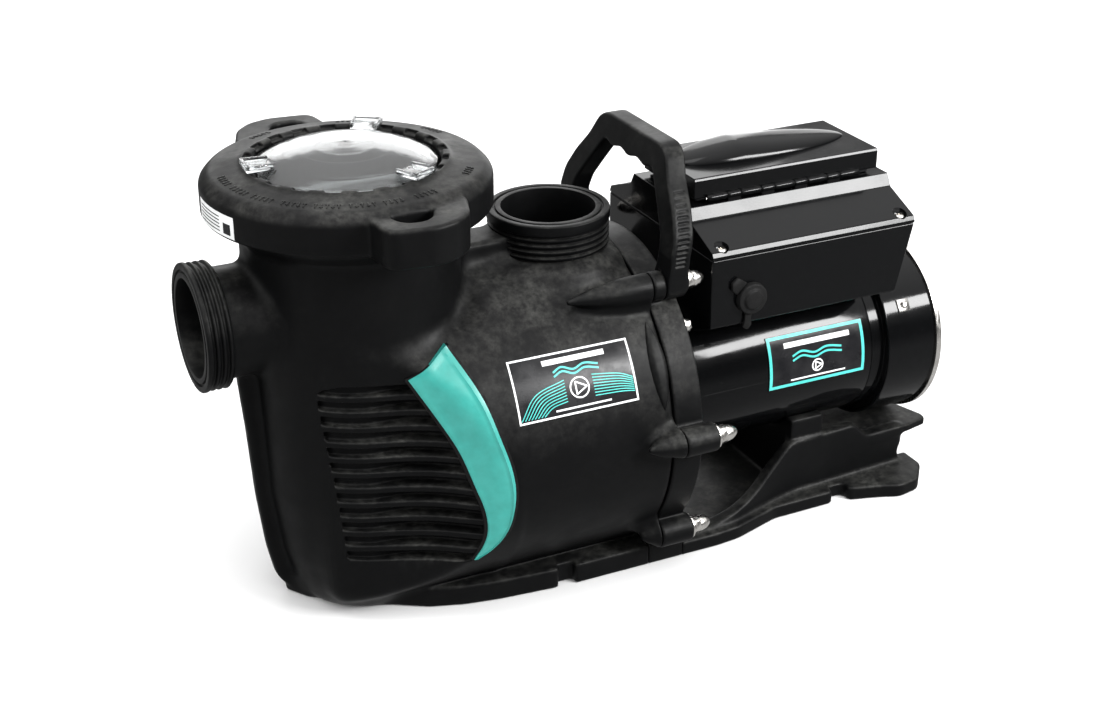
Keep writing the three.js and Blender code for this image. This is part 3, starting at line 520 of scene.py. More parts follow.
def moulded_plastic():
    """Black glass-filled plastic: mottled, with a fine grain, dust on what faces up, and lighter
    sharp edges that are partly wear and partly a painted highlight.
    """
    made = Finish("moulded_plastic", Specular_IOR_Level=0.1)
    normal = made.tree.nodes.new("ShaderNodeNewGeometry").outputs["Normal"]
    parts = made.tree.nodes.new("ShaderNodeSeparateXYZ")
    made.link(normal, parts.inputs[0])
    settled = made.span(parts.outputs["Z"], 0.03, 1, 0.08, 0.78)
    patches = made.math("MULTIPLY", made.span(made.noise(38, 5, 0.62), 0.1, 1, 0.4, 0.7),
                        made.span(made.noise(6, 5, 0.65), 0.15, 1, 0.35, 0.68))
    dust = made.math("MULTIPLY", patches, settled)
    base = made.colours(dust, JET, (0.042, 0.042, 0.039))
    # Sharp edges are lightened: partly edge wear, partly a painted highlight for the bright lines
    # that light draws along edges.
    edge = made.math("MULTIPLY", made.edge_wear_and_highlight(), made.span(made.noise(5), 0.1, 0.8))
    made.colour(made.colours(edge, base, (0.045, 0.045, 0.045)))
    made.roughness(made.span(made.noise(22, 5), 0.4, 0.52, 0.3, 0.7))
    made.bump(made.noise(0.9, 4, 0.7), 0.035)
    made.bump(made.noise(9, 2), 0.07)
    return made.material


def gloss_black(name="gloss_plastic", roughness=(0.09, 0.2)):
    """Polished black: a faint orange peel, smudges and a little dust."""
    made = Finish(name, Specular_IOR_Level=0.13, Coat_Weight=0.06, Coat_Roughness=0.05)
    dust = made.span(made.noise(1.3, 2), 0, 1, 0.72, 0.8)
    made.colour(made.colours(dust, JET, (0.02, 0.02, 0.02)))
    made.roughness(made.span(made.noise(30, 6, 0.6), *roughness, 0.3, 0.75))
    made.bump(made.noise(6, 2), 0.02)
    made.bump(made.noise(0.5, 2), 0.004)
    return made.material


def teal_trim():
    made = Finish("teal_trim", Specular_IOR_Level=0.45)
    patches = made.span(made.noise(14, 5), 0, 1)
    made.colour(made.colours(patches, (0.02, 0.222, 0.192), (0.028, 0.265, 0.23)))
    made.roughness(made.span(made.noise(10, 4), 0.3, 0.46))
    made.bump(made.noise(0.7, 3), 0.012)
    return made.material


def clear_plastic():
    """Clear polycarbonate with fine scratches."""
    made = Finish("clear_plastic", Transmission_Weight=1.0, IOR=1.42, Specular_IOR_Level=0.3)
    made.shader.inputs["Base Color"].default_value = (0.88, 0.9, 0.905, 1)
    scratch = made.span(made.noise(1.1, 2, 0.5, (14, 1, 14)), 0, 1, 0.68, 0.72)
    made.roughness(made.math("ADD", 0.1, made.math("MULTIPLY", scratch, 0.12)))
    made.bump(made.noise(18, 2), 0.04)
    return made.material


def rubber():
    made = Finish("rubber", Specular_IOR_Level=0.12)
    made.colour(made.colours(made.noise(6, 4), (0.003, 0.003, 0.003), (0.008, 0.008, 0.008)))
    made.roughness(made.span(made.noise(4), 0.5, 0.75))
    made.bump(made.noise(0.6, 3), 0.03)
    return made.material


def metal(name, first, second, roughness, grain=(1, 1, 1), size=2.5):
    """Bare metal with a drawn or turned grain."""
    made = Finish(name, Metallic=1.0)
    made.colour(made.colours(made.span(made.noise(size * 5, 4), 0, 1), first, second))
    made.roughness(made.span(made.noise(size, 5, 0.6, grain), *roughness))
    made.bump(made.noise(size * 0.3, 3, 0.6, grain), 0.008)
    return made.material


def plain(name, first, second, roughness, size=12, grain=0.8, depth=0.02, specular=0.5):
    """A moulded or fired material with mild variation in colour, gloss and grain."""
    made = Finish(name, Specular_IOR_Level=specular)
    made.colour(made.colours(made.span(made.noise(size, 5), 0, 1), first, second))
    made.roughness(made.span(made.noise(size * 0.7, 4), *roughness))
    made.bump(made.noise(grain, 3), depth)
    return made.material


def circuit_board():
    made = Finish("circuit_board")
    tracks = made.span(made.cells(4), 0, 1, 0.25, 0.3)
    made.colour(made.colours(tracks, (0.015, 0.12, 0.04), (0.02, 0.2, 0.07)))
    made.roughness(made.span(made.noise(6), 0.3, 0.5))
    made.bump(made.cells(4), 0.05)
    return made.material


# The size, grain, depth and shine of printed ink, and the colours and roughness of each ink.
PRINT = (10, 1.2, 0.005, 0.2)
WHITE = ((0.62, 0.63, 0.63), (0.72, 0.73, 0.73), (0.25, 0.4))
TEAL = ((0.05, 0.4, 0.36), (0.07, 0.48, 0.43), (0.25, 0.4))
LOOKS = {
    "moulded_plastic": moulded_plastic(),
    "gloss_plastic": gloss_black(),
    "black_paint": gloss_black("black_paint", (0.07, 0.15)),
    "teal_trim": teal_trim(),
    "clear_plastic": clear_plastic(),
    "rubber": rubber(),
    "stainless": metal("stainless", (0.62, 0.6, 0.57), (0.78, 0.76, 0.73), (0.16, 0.32),
                       (1, 1, 8)),
    "ceramic": plain("ceramic", (0.72, 0.7, 0.64), (0.8, 0.78, 0.72), (0.15, 0.3)),
    "copper": metal("copper", (0.5, 0.2, 0.09), (0.66, 0.3, 0.14), (0.25, 0.45), (1, 1, 1), 1.0),
    "lamination": metal("lamination", (0.2, 0.21, 0.23), (0.3, 0.31, 0.33), (0.35, 0.55),
                        (0.1, 4, 4), 1.2),
    "basket_plastic": plain("basket_plastic", (0.13, 0.14, 0.14), (0.18, 0.19, 0.19),
                            (0.35, 0.55)),
    "label": plain("label", (0.006, 0.006, 0.007), (0.014, 0.014, 0.015), (0.16, 0.3),
                   20, 1.5, 0.006, 0.14),
    "circuit_board": circuit_board(),
    "button": plain("button", (0.2, 0.22, 0.23), (0.27, 0.29, 0.3), (0.4, 0.6)),
    "white_print": plain("white_print", *WHITE, *PRINT),
    "teal_print": plain("teal_print", *TEAL, *PRINT),
}


# ---------------------------------------------------------------- pump body
FOOT_HALF = [
    (-262, 0), (-248, -22), (-222, -33), (-200, -55), (-179, -70), (-156, -84), (-126, -94),
    (-96, -99.5), (-39, -105), (-39, -97), (-23, -97), (-23, -105.5), (88, -105.5),
    (125, -105.5), (150, -103), (175, -95), (200, -87), (266, -86), (266, -76), (283, -76),
    (283, -88), (314, -97), (333, -104.6), (356, -100), (376, -76), (376, -44), (340, -30),
    (340, 0),
]
FOOT = mirrored_outline(FOOT_HALF)
FLANK_HALF = [
    (-240, 0), (-240, 66), (-216, 84), (-184, 97), (-160, 108), (-140, 122), (-120, 137),
    (-105, 144), (-90, 146), (-90, 0),
]
FLANK = mirrored_outline(FLANK_HALF)
POT_PROFILE = [
    (0, 0), (0, 62), (8, 68), (50, 79), (110, 87), (180, 89), (250, POT_R), (338, POT_R),
    (352, 107.5), (POT_RIM_Z, 107.5), (POT_RIM_Z, 0),
]
VOLUTE_PROFILE = [
    (-150, 0), (-150, 70), (-146, 100), (-133, 127), (-114, 141), (-92, VOLUTE_R),
    (PARTING_X - GAP / 2, VOLUTE_R), (PARTING_X - GAP / 2, 0),
]
pot_skin = turned(POT_PROFILE, "z", POT_AXIS, 5)
volute_skin = turned(VOLUTE_PROFILE, "x", SHAFT, 6)
flank_plan = drawn(FLANK, "z", 10, 264, 26, 12)
flank_roll = turned(disc(-260, 20, VOLUTE_R), "x", SHAFT, 2)


def flank_skin(x, y, z):
    return smooth_common(flank_plan(x, y, z), flank_roll(x, y, z), 5)


def casing_skin(x, y, z):
    """The pot, the volute and the flanks between them, without fins or fittings."""
    sides = smooth_join(volute_skin(x, y, z), flank_skin(x, y, z), 5)
    return smooth_join(pot_skin(x, y, z), sides, 12)


def thread_collar(axis, centre, face, away, lip, ridges):
    """The threaded end of a port: a face with a seal groove, a lip, and ridges behind it."""
    outer, root, pitch = PORT_THREAD_R, PORT_THREAD_R - 3, 5.6
    profile = [(0, PORT_BORE_R - 0.2), (0, 46.4), (2, 46.8), (2, 48.6), (0, 49), (0, outer - 1),
               (1, outer), (lip, outer)]
    for i in range(ridges):
        start = lip + pitch * i
        profile += [(start + 1.4, root), (start + 2.8, root), (start + 3.8, outer - 0.6),
                    (start + 5.4, outer - 0.6)]
    end = lip + pitch * ridges
    profile += [(end + 2, root), (end + 3, PORT_BORE_R - 0.2)]
    profile = [(face + away * along, radius) for along, radius in profile]
    return lathe("collar", profile, axis, centre, 128, 0.5, 2)


def add_suction(body):
    low, high = (-328, -62, 205), (-150, 62, 335)
    neck = turned(disc(SUCTION_FACE_X + 3, POT_X, PORT_NECK_R), "x", (0, 0, SUCTION_Z))
    body.join(neck, low, high, 9)


def add_discharge(body):
    top = DISCHARGE_FACE_Z - 3
    neck = [(200, 0), (200, 66), (284, 66), (293, PORT_NECK_R), (top, PORT_NECK_R), (top, 0)]
    body.join(turned(neck, "z", corner=7), (-85, -85, 230), (52, 85, 328), 10)


# Where each fairing starts along X, and how full it is, by the angle of its bolt.
FAIRINGS = {35: (-26, 1.0), 87: (20, 0.85), 131: (36, 0.75)}


def add_bosses(body):
    """The bolt bosses round the parting line, with their tapered fairings on the volute."""
    end = PARTING_X - GAP / 2
    for degrees in BOLT_ANGLES:
        nose, full = FAIRINGS[abs(degrees)]
        for radius, start in ((BOLT_CIRCLE_R, nose), (BOLT_CIRCLE_R - 14, min(nose + 12, 30))):
            slope = (end - start) / 3
            profile = [(start, 0), (start, 2), (start + slope, 8.5 * full),
                       (start + 2 * slope, 12 * full), (end, 13), (end, 0)]
            y, z = bolt_place(degrees, radius)
            boss = turned(profile, "x", (0, y, z), 1.2)
            body.join(boss, *around(-40, PARTING_X, y, z, 26), 10)


def add_webs(body):
    keel = [(-230, 8), (-262, 8), (-269.5, 19.5), (-276, 50), (-282, 103), (-286, 168),
            (-290, 216), (-290, 250), (-230, 250)]
    body.join(drawn(keel, "y", -6, 6, 4, 6), (-295, -16, 0), (-225, 16, 256), 6)
    body.join(block(-130, -20, -20, 20, 250, 309, 6), (-150, -40, 240), (0, 40, 318), 14)
    foot = drawn(FOOT, "z", 0, 20, 3, 4)
    body.join(foot, (-265, -110, 0), (PARTING_X + 4, 110, 30), 5)
    for x, y in DRAINS.values():
        boss = turned(disc(70, y, 15), "y", (x, 0, DRAIN_Z))
        body.join(boss, (x - 24, 60, 8), (x + 24, y + 3, DRAIN_Z + 24), 5)


FIN_FIELD = [
    (-244, 226), (-204, 240), (-174, 246), (-154, 204), (-140, 172), (-130, 141), (-123, 118),
    (-121, 98), (-124, 82), (-134, 60), (-226, 60), (-232, 120),
]
FIN_COUNT = 12
FIN_PITCH = 14.4
FIN_SLOT = 8.6
FIN_FIRST_Z = 65
FIN_DEPTH_X = (-240, -205, -172, -120)
FIN_DEPTH = (5.2, 5.8, 12, 10)


def cut_fins(body):
    """Horizontal slots between the fins. They are shallow over the pot, whose wall is thin."""
    field = drawn(FIN_FIELD, "y", -170, 170, 1, 8)

    def behind(x, y, z):
        depth = np.interp(x, FIN_DEPTH_X, FIN_DEPTH).astype(np.float32)
        return casing_skin(x, y, z) + depth

    for i in range(FIN_COUNT):
        z = FIN_FIRST_Z + FIN_PITCH * i
        for side in (-1, 1):
            y0, y1 = sorted((side * 40, side * 162))

            def slot_shape(x, y, z_, z=z):
                across = np.abs(z_ - z - FIN_SLOT / 2) - FIN_SLOT / 2
                window = smooth_common(field(x, y, z_), across, 1.2)
                return smooth_common(window, -behind(x, y, z_), 1.5)

            body.cut(slot_shape, (-250, y0, z - 4), (-116, y1, z + FIN_SLOT + 4), 0.6)


def pump_body():
    step = fineness(1.4)
    body = Moulding((-330, -172, -3), (PARTING_X + 4, 172, 378), step)
    body.join(casing_skin, blend=0.1)
    add_suction(body)
    add_discharge(body)
    add_webs(body)
    add_bosses(body)
    cut_fins(body)
    hollow = [(12, 0), (12, 60), (50, 71), (110, 79), (200, 80.5), (339.7, 80.5), (339.7, 84),
              (POT_RIM_Z + 4, 84), (POT_RIM_Z + 4, 0)]
    body.cut(turned(hollow, "z", POT_AXIS, 1), (-290, -100, 8), (-80, 100, 378))
    chamber_r = VOLUTE_R - VOLUTE_WALL
    chamber = [(-88, 0), (-88, 118), (-72, chamber_r), (PARTING_X + 6, chamber_r),
               (PARTING_X + 6, 0)]
    body.cut(turned(chamber, "x", SHAFT, 3), (-95, -150, -3), (PARTING_X + 4, 150, 300))
    body.cut(turned(disc(SUCTION_FACE_X - 4, POT_X, PORT_BORE_R), "x", (0, 0, SUCTION_Z), 1),
             (-330, -50, 220), (POT_X, 50, 320), 1.5)
    body.cut(turned(disc(200, DISCHARGE_FACE_Z + 5, PORT_BORE_R), "z", corner=1),
             (-50, -50, 195), (50, 50, 330), 1.5)
    body.cut(turned(disc(-110, -80, 47), "x", SHAFT, 1), (-115, -55, 90), (-80, 55, 200))
    body.keep(between(-400, PARTING_X - GAP / 2), 0.8)
    return merged("pump_body_skin", body.mesh("casing", fineness(0.145)),
                  thread_collar("x", (0, 0, SUCTION_Z), SUCTION_FACE_X, 1, 4, 3),
                  thread_collar("z", (0, 0, 0), DISCHARGE_FACE_Z, -1, 9, 4))


# ---------------------------------------------------------------- clamp ring
NOTCHES = 20
NOTCH_R = 81
LUG_R = 111.5


def pot_place(degrees, radius):
    """A point (x, y) on a circle round the pot's axis."""
    angle = math.radians(degrees)
    return POT_X + radius * math.cos(angle), radius * math.sin(angle)


def add_grips(ring):
    """The two grips, each with a finger hole through it."""
    outline = [(-27, 100), (-22, 144), (-16, 151), (18, 155), (38, 149), (53, 134), (64, 102)]
    gap = [(-8, 118), (-4, 131), (2, 136), (14, 137), (23, 130), (29, 116.5)]
    for side in (-1, 1):
        def facing(points, side=side):
            return [(POT_X - side * x, side * y) for x, y in points]

        y0, y1 = sorted((side * 90, side * 158))
        ring.join(drawn(facing(outline), "z", 355, 388, 4, 7), (POT_X - 90, y0, 350),
                  (POT_X + 90, y1, 396), 4)
        ring.cut(drawn(facing(gap), "z", 340, 420, 1, 4), (POT_X - 60, y0, 350),
                 (POT_X + 60, y1, 402), 3.5)


def cut_notches(ring):
    """The row of notches in the lip round the window."""
    lip = turned([(395, 76), (395, 84.6), (402, 84.6), (402, 76)], "z", POT_AXIS, 0.6)
    for i in range(NOTCHES):
        degrees = (i + 0.5) * 360 / NOTCHES

        def notch(x, y, z, degrees=degrees):
            turn = np.degrees(np.arctan2(y, x - POT_X)) - degrees
            along = (np.abs((turn + 180) % 360 - 180) - 4.6) * 1.5
            return smooth_common(lip(x, y, z), along.astype(np.float32), 0.6)

        x, y = pot_place(degrees, NOTCH_R)
        ring.cut(notch, (x - 14, y - 14, 392), (x + 14, y + 14, 402), 0.7)


def clamp_ring():
    step = fineness(0.9)
    ring = Moulding((POT_X - 124, -158, 352), (POT_X + 124, 158, 402), step)
    profile = [(RING_Z, 111), (RING_Z, RING_R), (384, RING_R), (392, 113.5), (396.4, 88),
               (398.6, 85), (398.6, 81), (396.5, RING_OPENING_R), (389.4, RING_OPENING_R),
               (389.4, 111)]
    ring.join(turned(profile, "z", POT_AXIS, 3.5))
    add_grips(ring)
    ring.cut(turned(disc(340, 389.4, 110.8), "z", POT_AXIS, 0.5))
    cut_notches(ring)
    for degrees in (45, 135, 225, 315):
        x, y = pot_place(degrees, LUG_R)
        lug = turned(disc(RING_Z, 361.5, 6), "z", (x, y, 0), 1)
        ring.join(lug, (x - 10, y - 10, 356), (x + 10, y + 10, 364), 1)
    return ring.mesh("clamp_ring_skin", fineness(0.45))


# ---------------------------------------------------------------- seal plate and handle
def seal_plate():
    step = fineness(1.1)
    low = PARTING_X + GAP / 2
    plate = Moulding((48, -172, -3), (90, 172, 314), step)
    profile = [(low, 128), (low, VOLUTE_R), (PLATE_BACK_X, VOLUTE_R), (PLATE_BACK_X, 30), (72, 30),
               (72, 14), (62, 14), (62, 100), (66, 128)]
    plate.join(turned(profile, "x", SHAFT, 1.5))
    for degrees in BOLT_ANGLES:
        y, z = bolt_place(degrees)
        end = 64 if degrees in HANDLE_ANGLES else 84
        boss = turned(disc(low, end, 13), "x", (0, y, z), 1.5)
        plate.join(boss, *around(48, 90, y, z, 22), 5)
    plate.join(drawn(FOOT, "z", 0, 20, 3, 4), (48, -110, -3), (90, 110, 28), 5)
    for degrees in HANDLE_ANGLES:
        y, z = bolt_place(degrees)
        seat = turned(disc(64, 120, 13.5 + GAP), "x", (0, y, z), 0.5)
        plate.cut(seat, *around(60, 90, y, z, 18), 0.5)
    plate.keep(between(low, BASE_SPLIT_X - GAP / 2), 0.8)
    return plate.mesh("seal_plate_skin", fineness(0.5))


HANDLE_OUTER = [
    (-102, 268), (-108, 300), (-105, 318), (-92, 338), (-74, 358), (-62, 378), (-50, 384),
    (50, 384), (62, 378), (74, 358), (92, 338), (105, 318), (108, 300), (102, 268),
]
HANDLE_INNER = [
    (79, 200), (79, 284), (84, 300), (80, 314), (64, 336), (50, 354), (44, 362), (30, 358),
    (15, 362), (0, 358), (-15, 362), (-30, 358), (-44, 362), (-50, 354), (-64, 336),
    (-80, 314), (-84, 300), (-79, 284), (-79, 200),
]
HANDLE_X = 64.3
HANDLE_LEAN = 0.22
LADDER_RUNGS = 14
LADDER_PITCH = 4.4
LADDER_EDGE_Z = [268, 300, 318, 338, 358]
LADDER_EDGE_Y = [102, 108, 105, 92, 74]


def lean_at(z):
    """How far the handle leans towards the motor at a height."""
    return np.maximum(0, z - 300) * HANDLE_LEAN


def cut_ladder(handle):
    """The short rungs up the outer edges of the handle."""
    for i in range(LADDER_RUNGS):
        z = 292 + i * LADDER_PITCH
        x0 = HANDLE_X + 5 + lean_at(z)
        for side in (-1, 1):
            edge = side * np.interp(z, LADDER_EDGE_Z, LADDER_EDGE_Y)
            y0, y1 = sorted((edge - side * 1.6, edge + side * 6))
            notch = block(x0, x0 + 10, y0, y1, z, z + LADDER_PITCH * 0.5, 0.6)
            handle.cut(notch, (x0 - 4, y0 - 3, z - 3), (x0 + 14, y1 + 3, z + 6), 0.8)


def carry_handle():
    step = fineness(0.9)
    handle = Moulding((58, -112, 255), (108, 112, 387), step)
    arch = drawn(HANDLE_OUTER, "x", HANDLE_X, 84, 2.6, 6)
    hole = drawn(HANDLE_INNER, "x", 0, 200, 1, 4)

    def leaning(shape):
        return lambda x, y, z: shape(x - lean_at(z), y, z)

    def arch_skin(x, y, z):
        return smooth_common(arch(x, y, z), -hole(x, y, z), 2.6)

    handle.join(leaning(arch_skin))
    cut_ladder(handle)
    for degrees in HANDLE_ANGLES:
        y, z = bolt_place(degrees)
        lug = turned(disc(HANDLE_X, 84, 13.5), "x", (0, y, z), 1.5)
        handle.join(lug, *around(58, 90, y, z, 20), 6)
    handle.cut(turned(disc(0, 200, VOLUTE_R + GAP), "x", SHAFT, 0.5), blend=0.6)
    handle.keep(between(HANDLE_X, 200), 0.8)
    return handle.mesh("carry_handle_skin", fineness(0.5))


# ---------------------------------------------------------------- motor base
def add_flanks(base, x0):
    """The two side walls, which rise in a curve from the seal plate to the motor's cradle."""
    side_view = [(x0 - 6, 0), (x0 - 6, 16), (125, 18), (146, 22), (165, 27), (179, 34), (190, 42),
                 (200, 50), (212, 60), (224, 69), (300, 69), (318, 52), (366, 52), (372, 44),
                 (357, 27), (362, 10), (362, 0)]
    wall = [(x0 - 6, 97), (125, 97), (150, 94), (175, 86), (200, 78), (230, 70), (362, 62),
            (362, 50), (230, 58), (200, 64), (175, 72), (150, 80), (125, 83), (x0 - 6, 84)]
    side = drawn(side_view, "y", -130, 130, 1, 6)
    for sign in (-1, 1):
        flank = drawn([(x, sign * y) for x, y in wall], "z", 0, 120, 1, 6)

        def flank_shape(x, y, z, flank=flank):
            return smooth_common(flank(x, y, z), side(x, y, z), 4)

        base.join(flank_shape, blend=6)


def motor_base():
    step = fineness(1.3)
    x0 = BASE_SPLIT_X + GAP / 2
    base = Moulding((84, -112, -3), (398, 112, 96), step)
    base.join(drawn(FOOT, "z", 0, 14, 3, 5))
    add_flanks(base, x0)
    base.join(block(226, 262, -66, 66, 10, 90, 3), blend=4)
    shelf = mirrored_outline([(250, 0), (250, -62), (366, -62), (392, -56), (394, -48), (378, 0)])
    base.join(drawn(shelf, "z", 44, 52, 2, 3), blend=4)
    base.join(block(255, 350, -58, 58, 5, 50, 2), blend=3)
    base.cut(block(263, 400, -50, 50, -5, 44, 2), blend=1.5)
    base.cut(turned(disc(80, 400, MOTOR_R + GAP), "x", SHAFT, 0.5))
    base.cut(turned(disc(300, 410, SHROUD_R + 1), "x", SHAFT, 0.5))
    base.keep(between(x0, 394), 0.8)
    return base.mesh("motor_base_skin", fineness(0.5))


# ---------------------------------------------------------------- trim that follows the casing
def curve_through(points, count):
    """Evenly spaced points on a smooth curve through the given ones."""
    points = np.array(points, float)
    extended = np.vstack([2 * points[0] - points[1], points, 2 * points[-1] - points[-2]])
    dense = []
    for a, b, c, d in zip(extended, extended[1:], extended[2:], extended[3:]):
        for t in np.linspace(0, 1, 12, endpoint=False):
            dense.append(0.5 * (2 * b + (c - a) * t + (2 * a - 5 * b + 4 * c - d) * t ** 2
                                + (3 * b - a - 3 * c + d) * t ** 3))
    dense = np.array(dense + [points[-1]])
    along = np.concatenate([[0], np.cumsum(np.linalg.norm(np.diff(dense, axis=0), axis=1))])
    at = np.linspace(0, along[-1], count)
    return np.stack([np.interp(at, along, dense[:, k]) for k in range(points.shape[1])], axis=1)


def side_of_casing(x, z):
    """The casing's half width at points of the side view."""
    y = np.arange(165, 55, -0.5)
    deep = casing_skin(x[..., None], y, z[..., None]) < 0
    first = np.argmax(deep, axis=-1)
    near, far = y[np.maximum(first - 1, 0)], y[first]
    d_near = casing_skin(x, near, z)
    d_far = casing_skin(x, far, z)
    return near + (far - near) * d_near / np.maximum(d_near - d_far, 1e-6)


STRIPE_LEFT = [(-176, 237), (-155, 200), (-141, 172), (-131, 141), (-124, 118), (-122, 99),
               (-125, 82), (-131, 67)]
STRIPE_RIGHT = [(-139, 258), (-121, 221), (-111, 187), (-103, 158), (-100, 134), (-102, 107),
                (-107, 89), (-117, 75), (-130, 66)]


def stripe(name, side, grow=0.0, height=2.0, bead=3.1):
    """A strip that tapers down the casing and follows its skin, with a bead along one edge."""
    rows, columns = 90, 22
    left = curve_through(STRIPE_LEFT, rows) - (grow, 0)
    right = curve_through(STRIPE_RIGHT, rows) + (grow, 0)
    share = np.linspace(0, 1, columns)[None, :, None]
    flat = left[:, None, :] * (1 - share) + right[:, None, :] * share
    skin = side_of_casing(flat[..., 0], flat[..., 1])
    lift = np.full(skin.shape, height)
    lift[:, -3] = bead
    lift[:, [0, -1]] = lift[[0, -1], :] = height * 0.55
    top = np.maximum(evened(skin, 10) + lift, skin + 0.5 * height)
    outer = np.stack([flat[..., 0], side * top, flat[..., 1]], -1)
    inner = np.stack([flat[..., 0], side * (skin + 0.15), flat[..., 1]], -1)
    return sheet_solid(name, outer, inner)


def evened(values, passes):
    """A grid of values with its creases smoothed out."""
    for _ in range(passes):
        wide = np.pad(values, 1, mode="edge")
        values = (wide[:-2, 1:-1] + wide[2:, 1:-1] + wide[1:-1, :-2] + wide[1:-1, 2:]) / 4
    return values


def sheet_solid(name, outer, inner):
    """A closed thin solid between two grids of points, each rows by columns by 3."""
    rows, columns = outer.shape[:2]
    count = rows * columns
    faces = []
    for i in range(rows - 1):
        for j in range(columns - 1):
            a = i * columns + j
            faces.append((a, a + 1, a + columns + 1, a + columns))
            faces.append((count + a, count + a + columns, count + a + columns + 1, count + a + 1))
    rim = list(range(columns - 1))
    rim += [i * columns + columns - 1 for i in range(rows - 1)]
    rim += [(rows - 1) * columns + j for j in range(columns - 1, 0, -1)]
    rim += [i * columns for i in range(rows - 1, 0, -1)]
    for a, b in zip(rim, rim[1:] + rim[:1]):
        faces.append((a, b, count + b, count + a))
    made = new_object(name, np.concatenate([outer, inner]).reshape(-1, 3), faces)
    tidy_faces(made)
    smooth(made, 40)
    return made


def on_drum(x, degrees, radius):
    """A point on a drum round the shaft, at an angle from straight up towards -Y."""
    angle = np.radians(degrees)
    return np.stack([x, -radius * np.sin(angle), SHAFT_Z + radius * np.cos(angle)], -1)


def drum_patch(name, x0, x1, from_deg, to_deg, radii, rows=24):
    """A thin plate bent round the shaft's line, between two radii."""
    degrees, x = np.meshgrid(np.linspace(from_deg, to_deg, rows), np.array([x0, x1], float),
                             indexing="ij")
    return sheet_solid(name, on_drum(x, degrees, radii[1]), on_drum(x, degrees, radii[0]))


def drum_line(name, points, width, radii):
    """A printed line on a drum, through (x, arc length from straight up) points."""
    line = curve_through(points, 48)
    way = np.gradient(line, axis=0)
    way /= np.linalg.norm(way, axis=1, keepdims=True)
    across = np.stack([-way[:, 1], way[:, 0]], 1) * width / 2
    grid = np.stack([line - across, line + across], 1)
    degrees = np.degrees(grid[..., 1] / radii[0])
    return sheet_solid(name, on_drum(grid[..., 0], degrees, radii[1]),
                       on_drum(grid[..., 0], degrees, radii[0]))


def border(x0, x1, from_deg, to_deg, width, radii):
    """A printed frame just inside the edges of a label, in four strips."""
    turn = math.degrees(width / radii[0])
    return [drum_patch("side", x0, x0 + width, from_deg, to_deg, radii),
            drum_patch("side", x1 - width, x1, from_deg, to_deg, radii),
            drum_patch("end", x0 + width, x1 - width, from_deg, from_deg + turn, radii, 3),
            drum_patch("end", x0 + width, x1 - width, to_deg - turn, to_deg, radii, 3)]


def plain_bar(x0, x1, s, height, radii):
    """A plain printed bar, centred at an arc length from straight up."""
    turn = math.degrees(height / 2 / radii[0])
    middle = math.degrees(s / radii[0])
    return drum_patch("bar", x0, x1, middle - turn, middle + turn, radii, 4)


def pump_sign(x, s, radius, radii):
    """The usual plain sign for a pump: a circle with a triangle in it."""
    turns = [math.radians(a) for a in range(0, 361, 30)]
    circle = [(x + radius * math.cos(a), s + radius * math.sin(a)) for a in turns]
    strokes = [drum_line("ring", circle, 1.3, radii)]
    inside = radius * 0.8
    back, rise = x - inside * 0.5, inside * 0.8
    corners = [(x + inside, s), (back, s - rise), (back, s + rise)]
    for a, b in zip(corners, corners[1:] + corners[:1]):
        middle = ((a[0] + b[0]) / 2, (a[1] + b[1]) / 2)
        strokes.append(drum_line("stroke", [a, middle, b], 1.3, radii))
    return strokes


def wave_pair(x, s, length, width, radii):
    """Two wavy strokes under one another."""
    strokes = []
    for i in range(2):
        top = s + 2.3 * width * i
        points = [(x, top + 1), (x + length * 0.2, top - 2.4), (x + length * 0.45, top + 1.2),
                  (x + length * 0.7, top - 2), (x + length, top + 0.8)]
        strokes.append(drum_line("wave", points, width, radii))
    return strokes


def volute_label():
    """The label on the volute: a frame, two bars, two fans of arcs, waves and the pump sign."""
    r = VOLUTE_R + 0.5
    ink, thin_ink = (r + 0.4, r + 0.62), (r + 0.4, r + 0.57)
    arc_mm = r * math.pi / 180
    plate = drum_patch("volute_label_plate", -93, 20, 49, 70.5, (r - 0.2, r + 0.5))
    place(plate, "casing", "label", "volute_label")
    white = [*border(-92.4, 19.4, 49.15, 70.35, 1.6, ink),
             plain_bar(-62, -4, 52.2 * arc_mm, 4.6, ink),
             plain_bar(-58, -6, 68.4 * arc_mm, 1.5, ink),
             *pump_sign(-33, 62.2 * arc_mm, 8.6, ink)]
    place(merged("volute_label_print", *white), "casing", "white_print")
    teal = wave_pair(-54, 55.4 * arc_mm, 42, 1.6, ink)
    low = 70.35 * arc_mm - 2.4
    for i in range(8):
        rise = 27 - 2.6 * i
        teal.append(drum_line("arc", [(-90 + 3 * i, low), (-74 + 2 * i, low - rise * 0.7),
                                      (-46, low - rise)], 0.8, thin_ink))
        teal.append(drum_line("arc", [(-20, low - rise), (4, low - rise * 0.86),
                                      (17, low - rise * 0.66)], 0.8, thin_ink))
    place(merged("volute_label_waves", *teal), "casing", "teal_print")


def motor_label():
    """The label on the motor: a teal frame and waves, two bars and the pump sign."""
    r = MOTOR_R + 0.5
    ink = (r + 0.3, r + 0.52)
    arc_mm = r * math.pi / 180
    plate = drum_patch("motor_label_plate", 190, 296, 58, 96, (r - 0.2, r + 0.4))
    place(plate, "casing", "label", "motor_label")
    teal = [*border(190.6, 295.4, 58.4, 95.6, 3.0, ink),
            *wave_pair(216, 73.5 * arc_mm, 54, 1.9, ink)]
    place(merged("motor_label_border", *teal), "casing", "teal_print")
    white = [plain_bar(208, 280, 66 * arc_mm, 5, ink),
             plain_bar(214, 274, 91.4 * arc_mm, 1.6, ink),
             *pump_sign(243, 84 * arc_mm, 5.6, ink)]
    place(merged("motor_label_print", *white), "casing", "white_print")


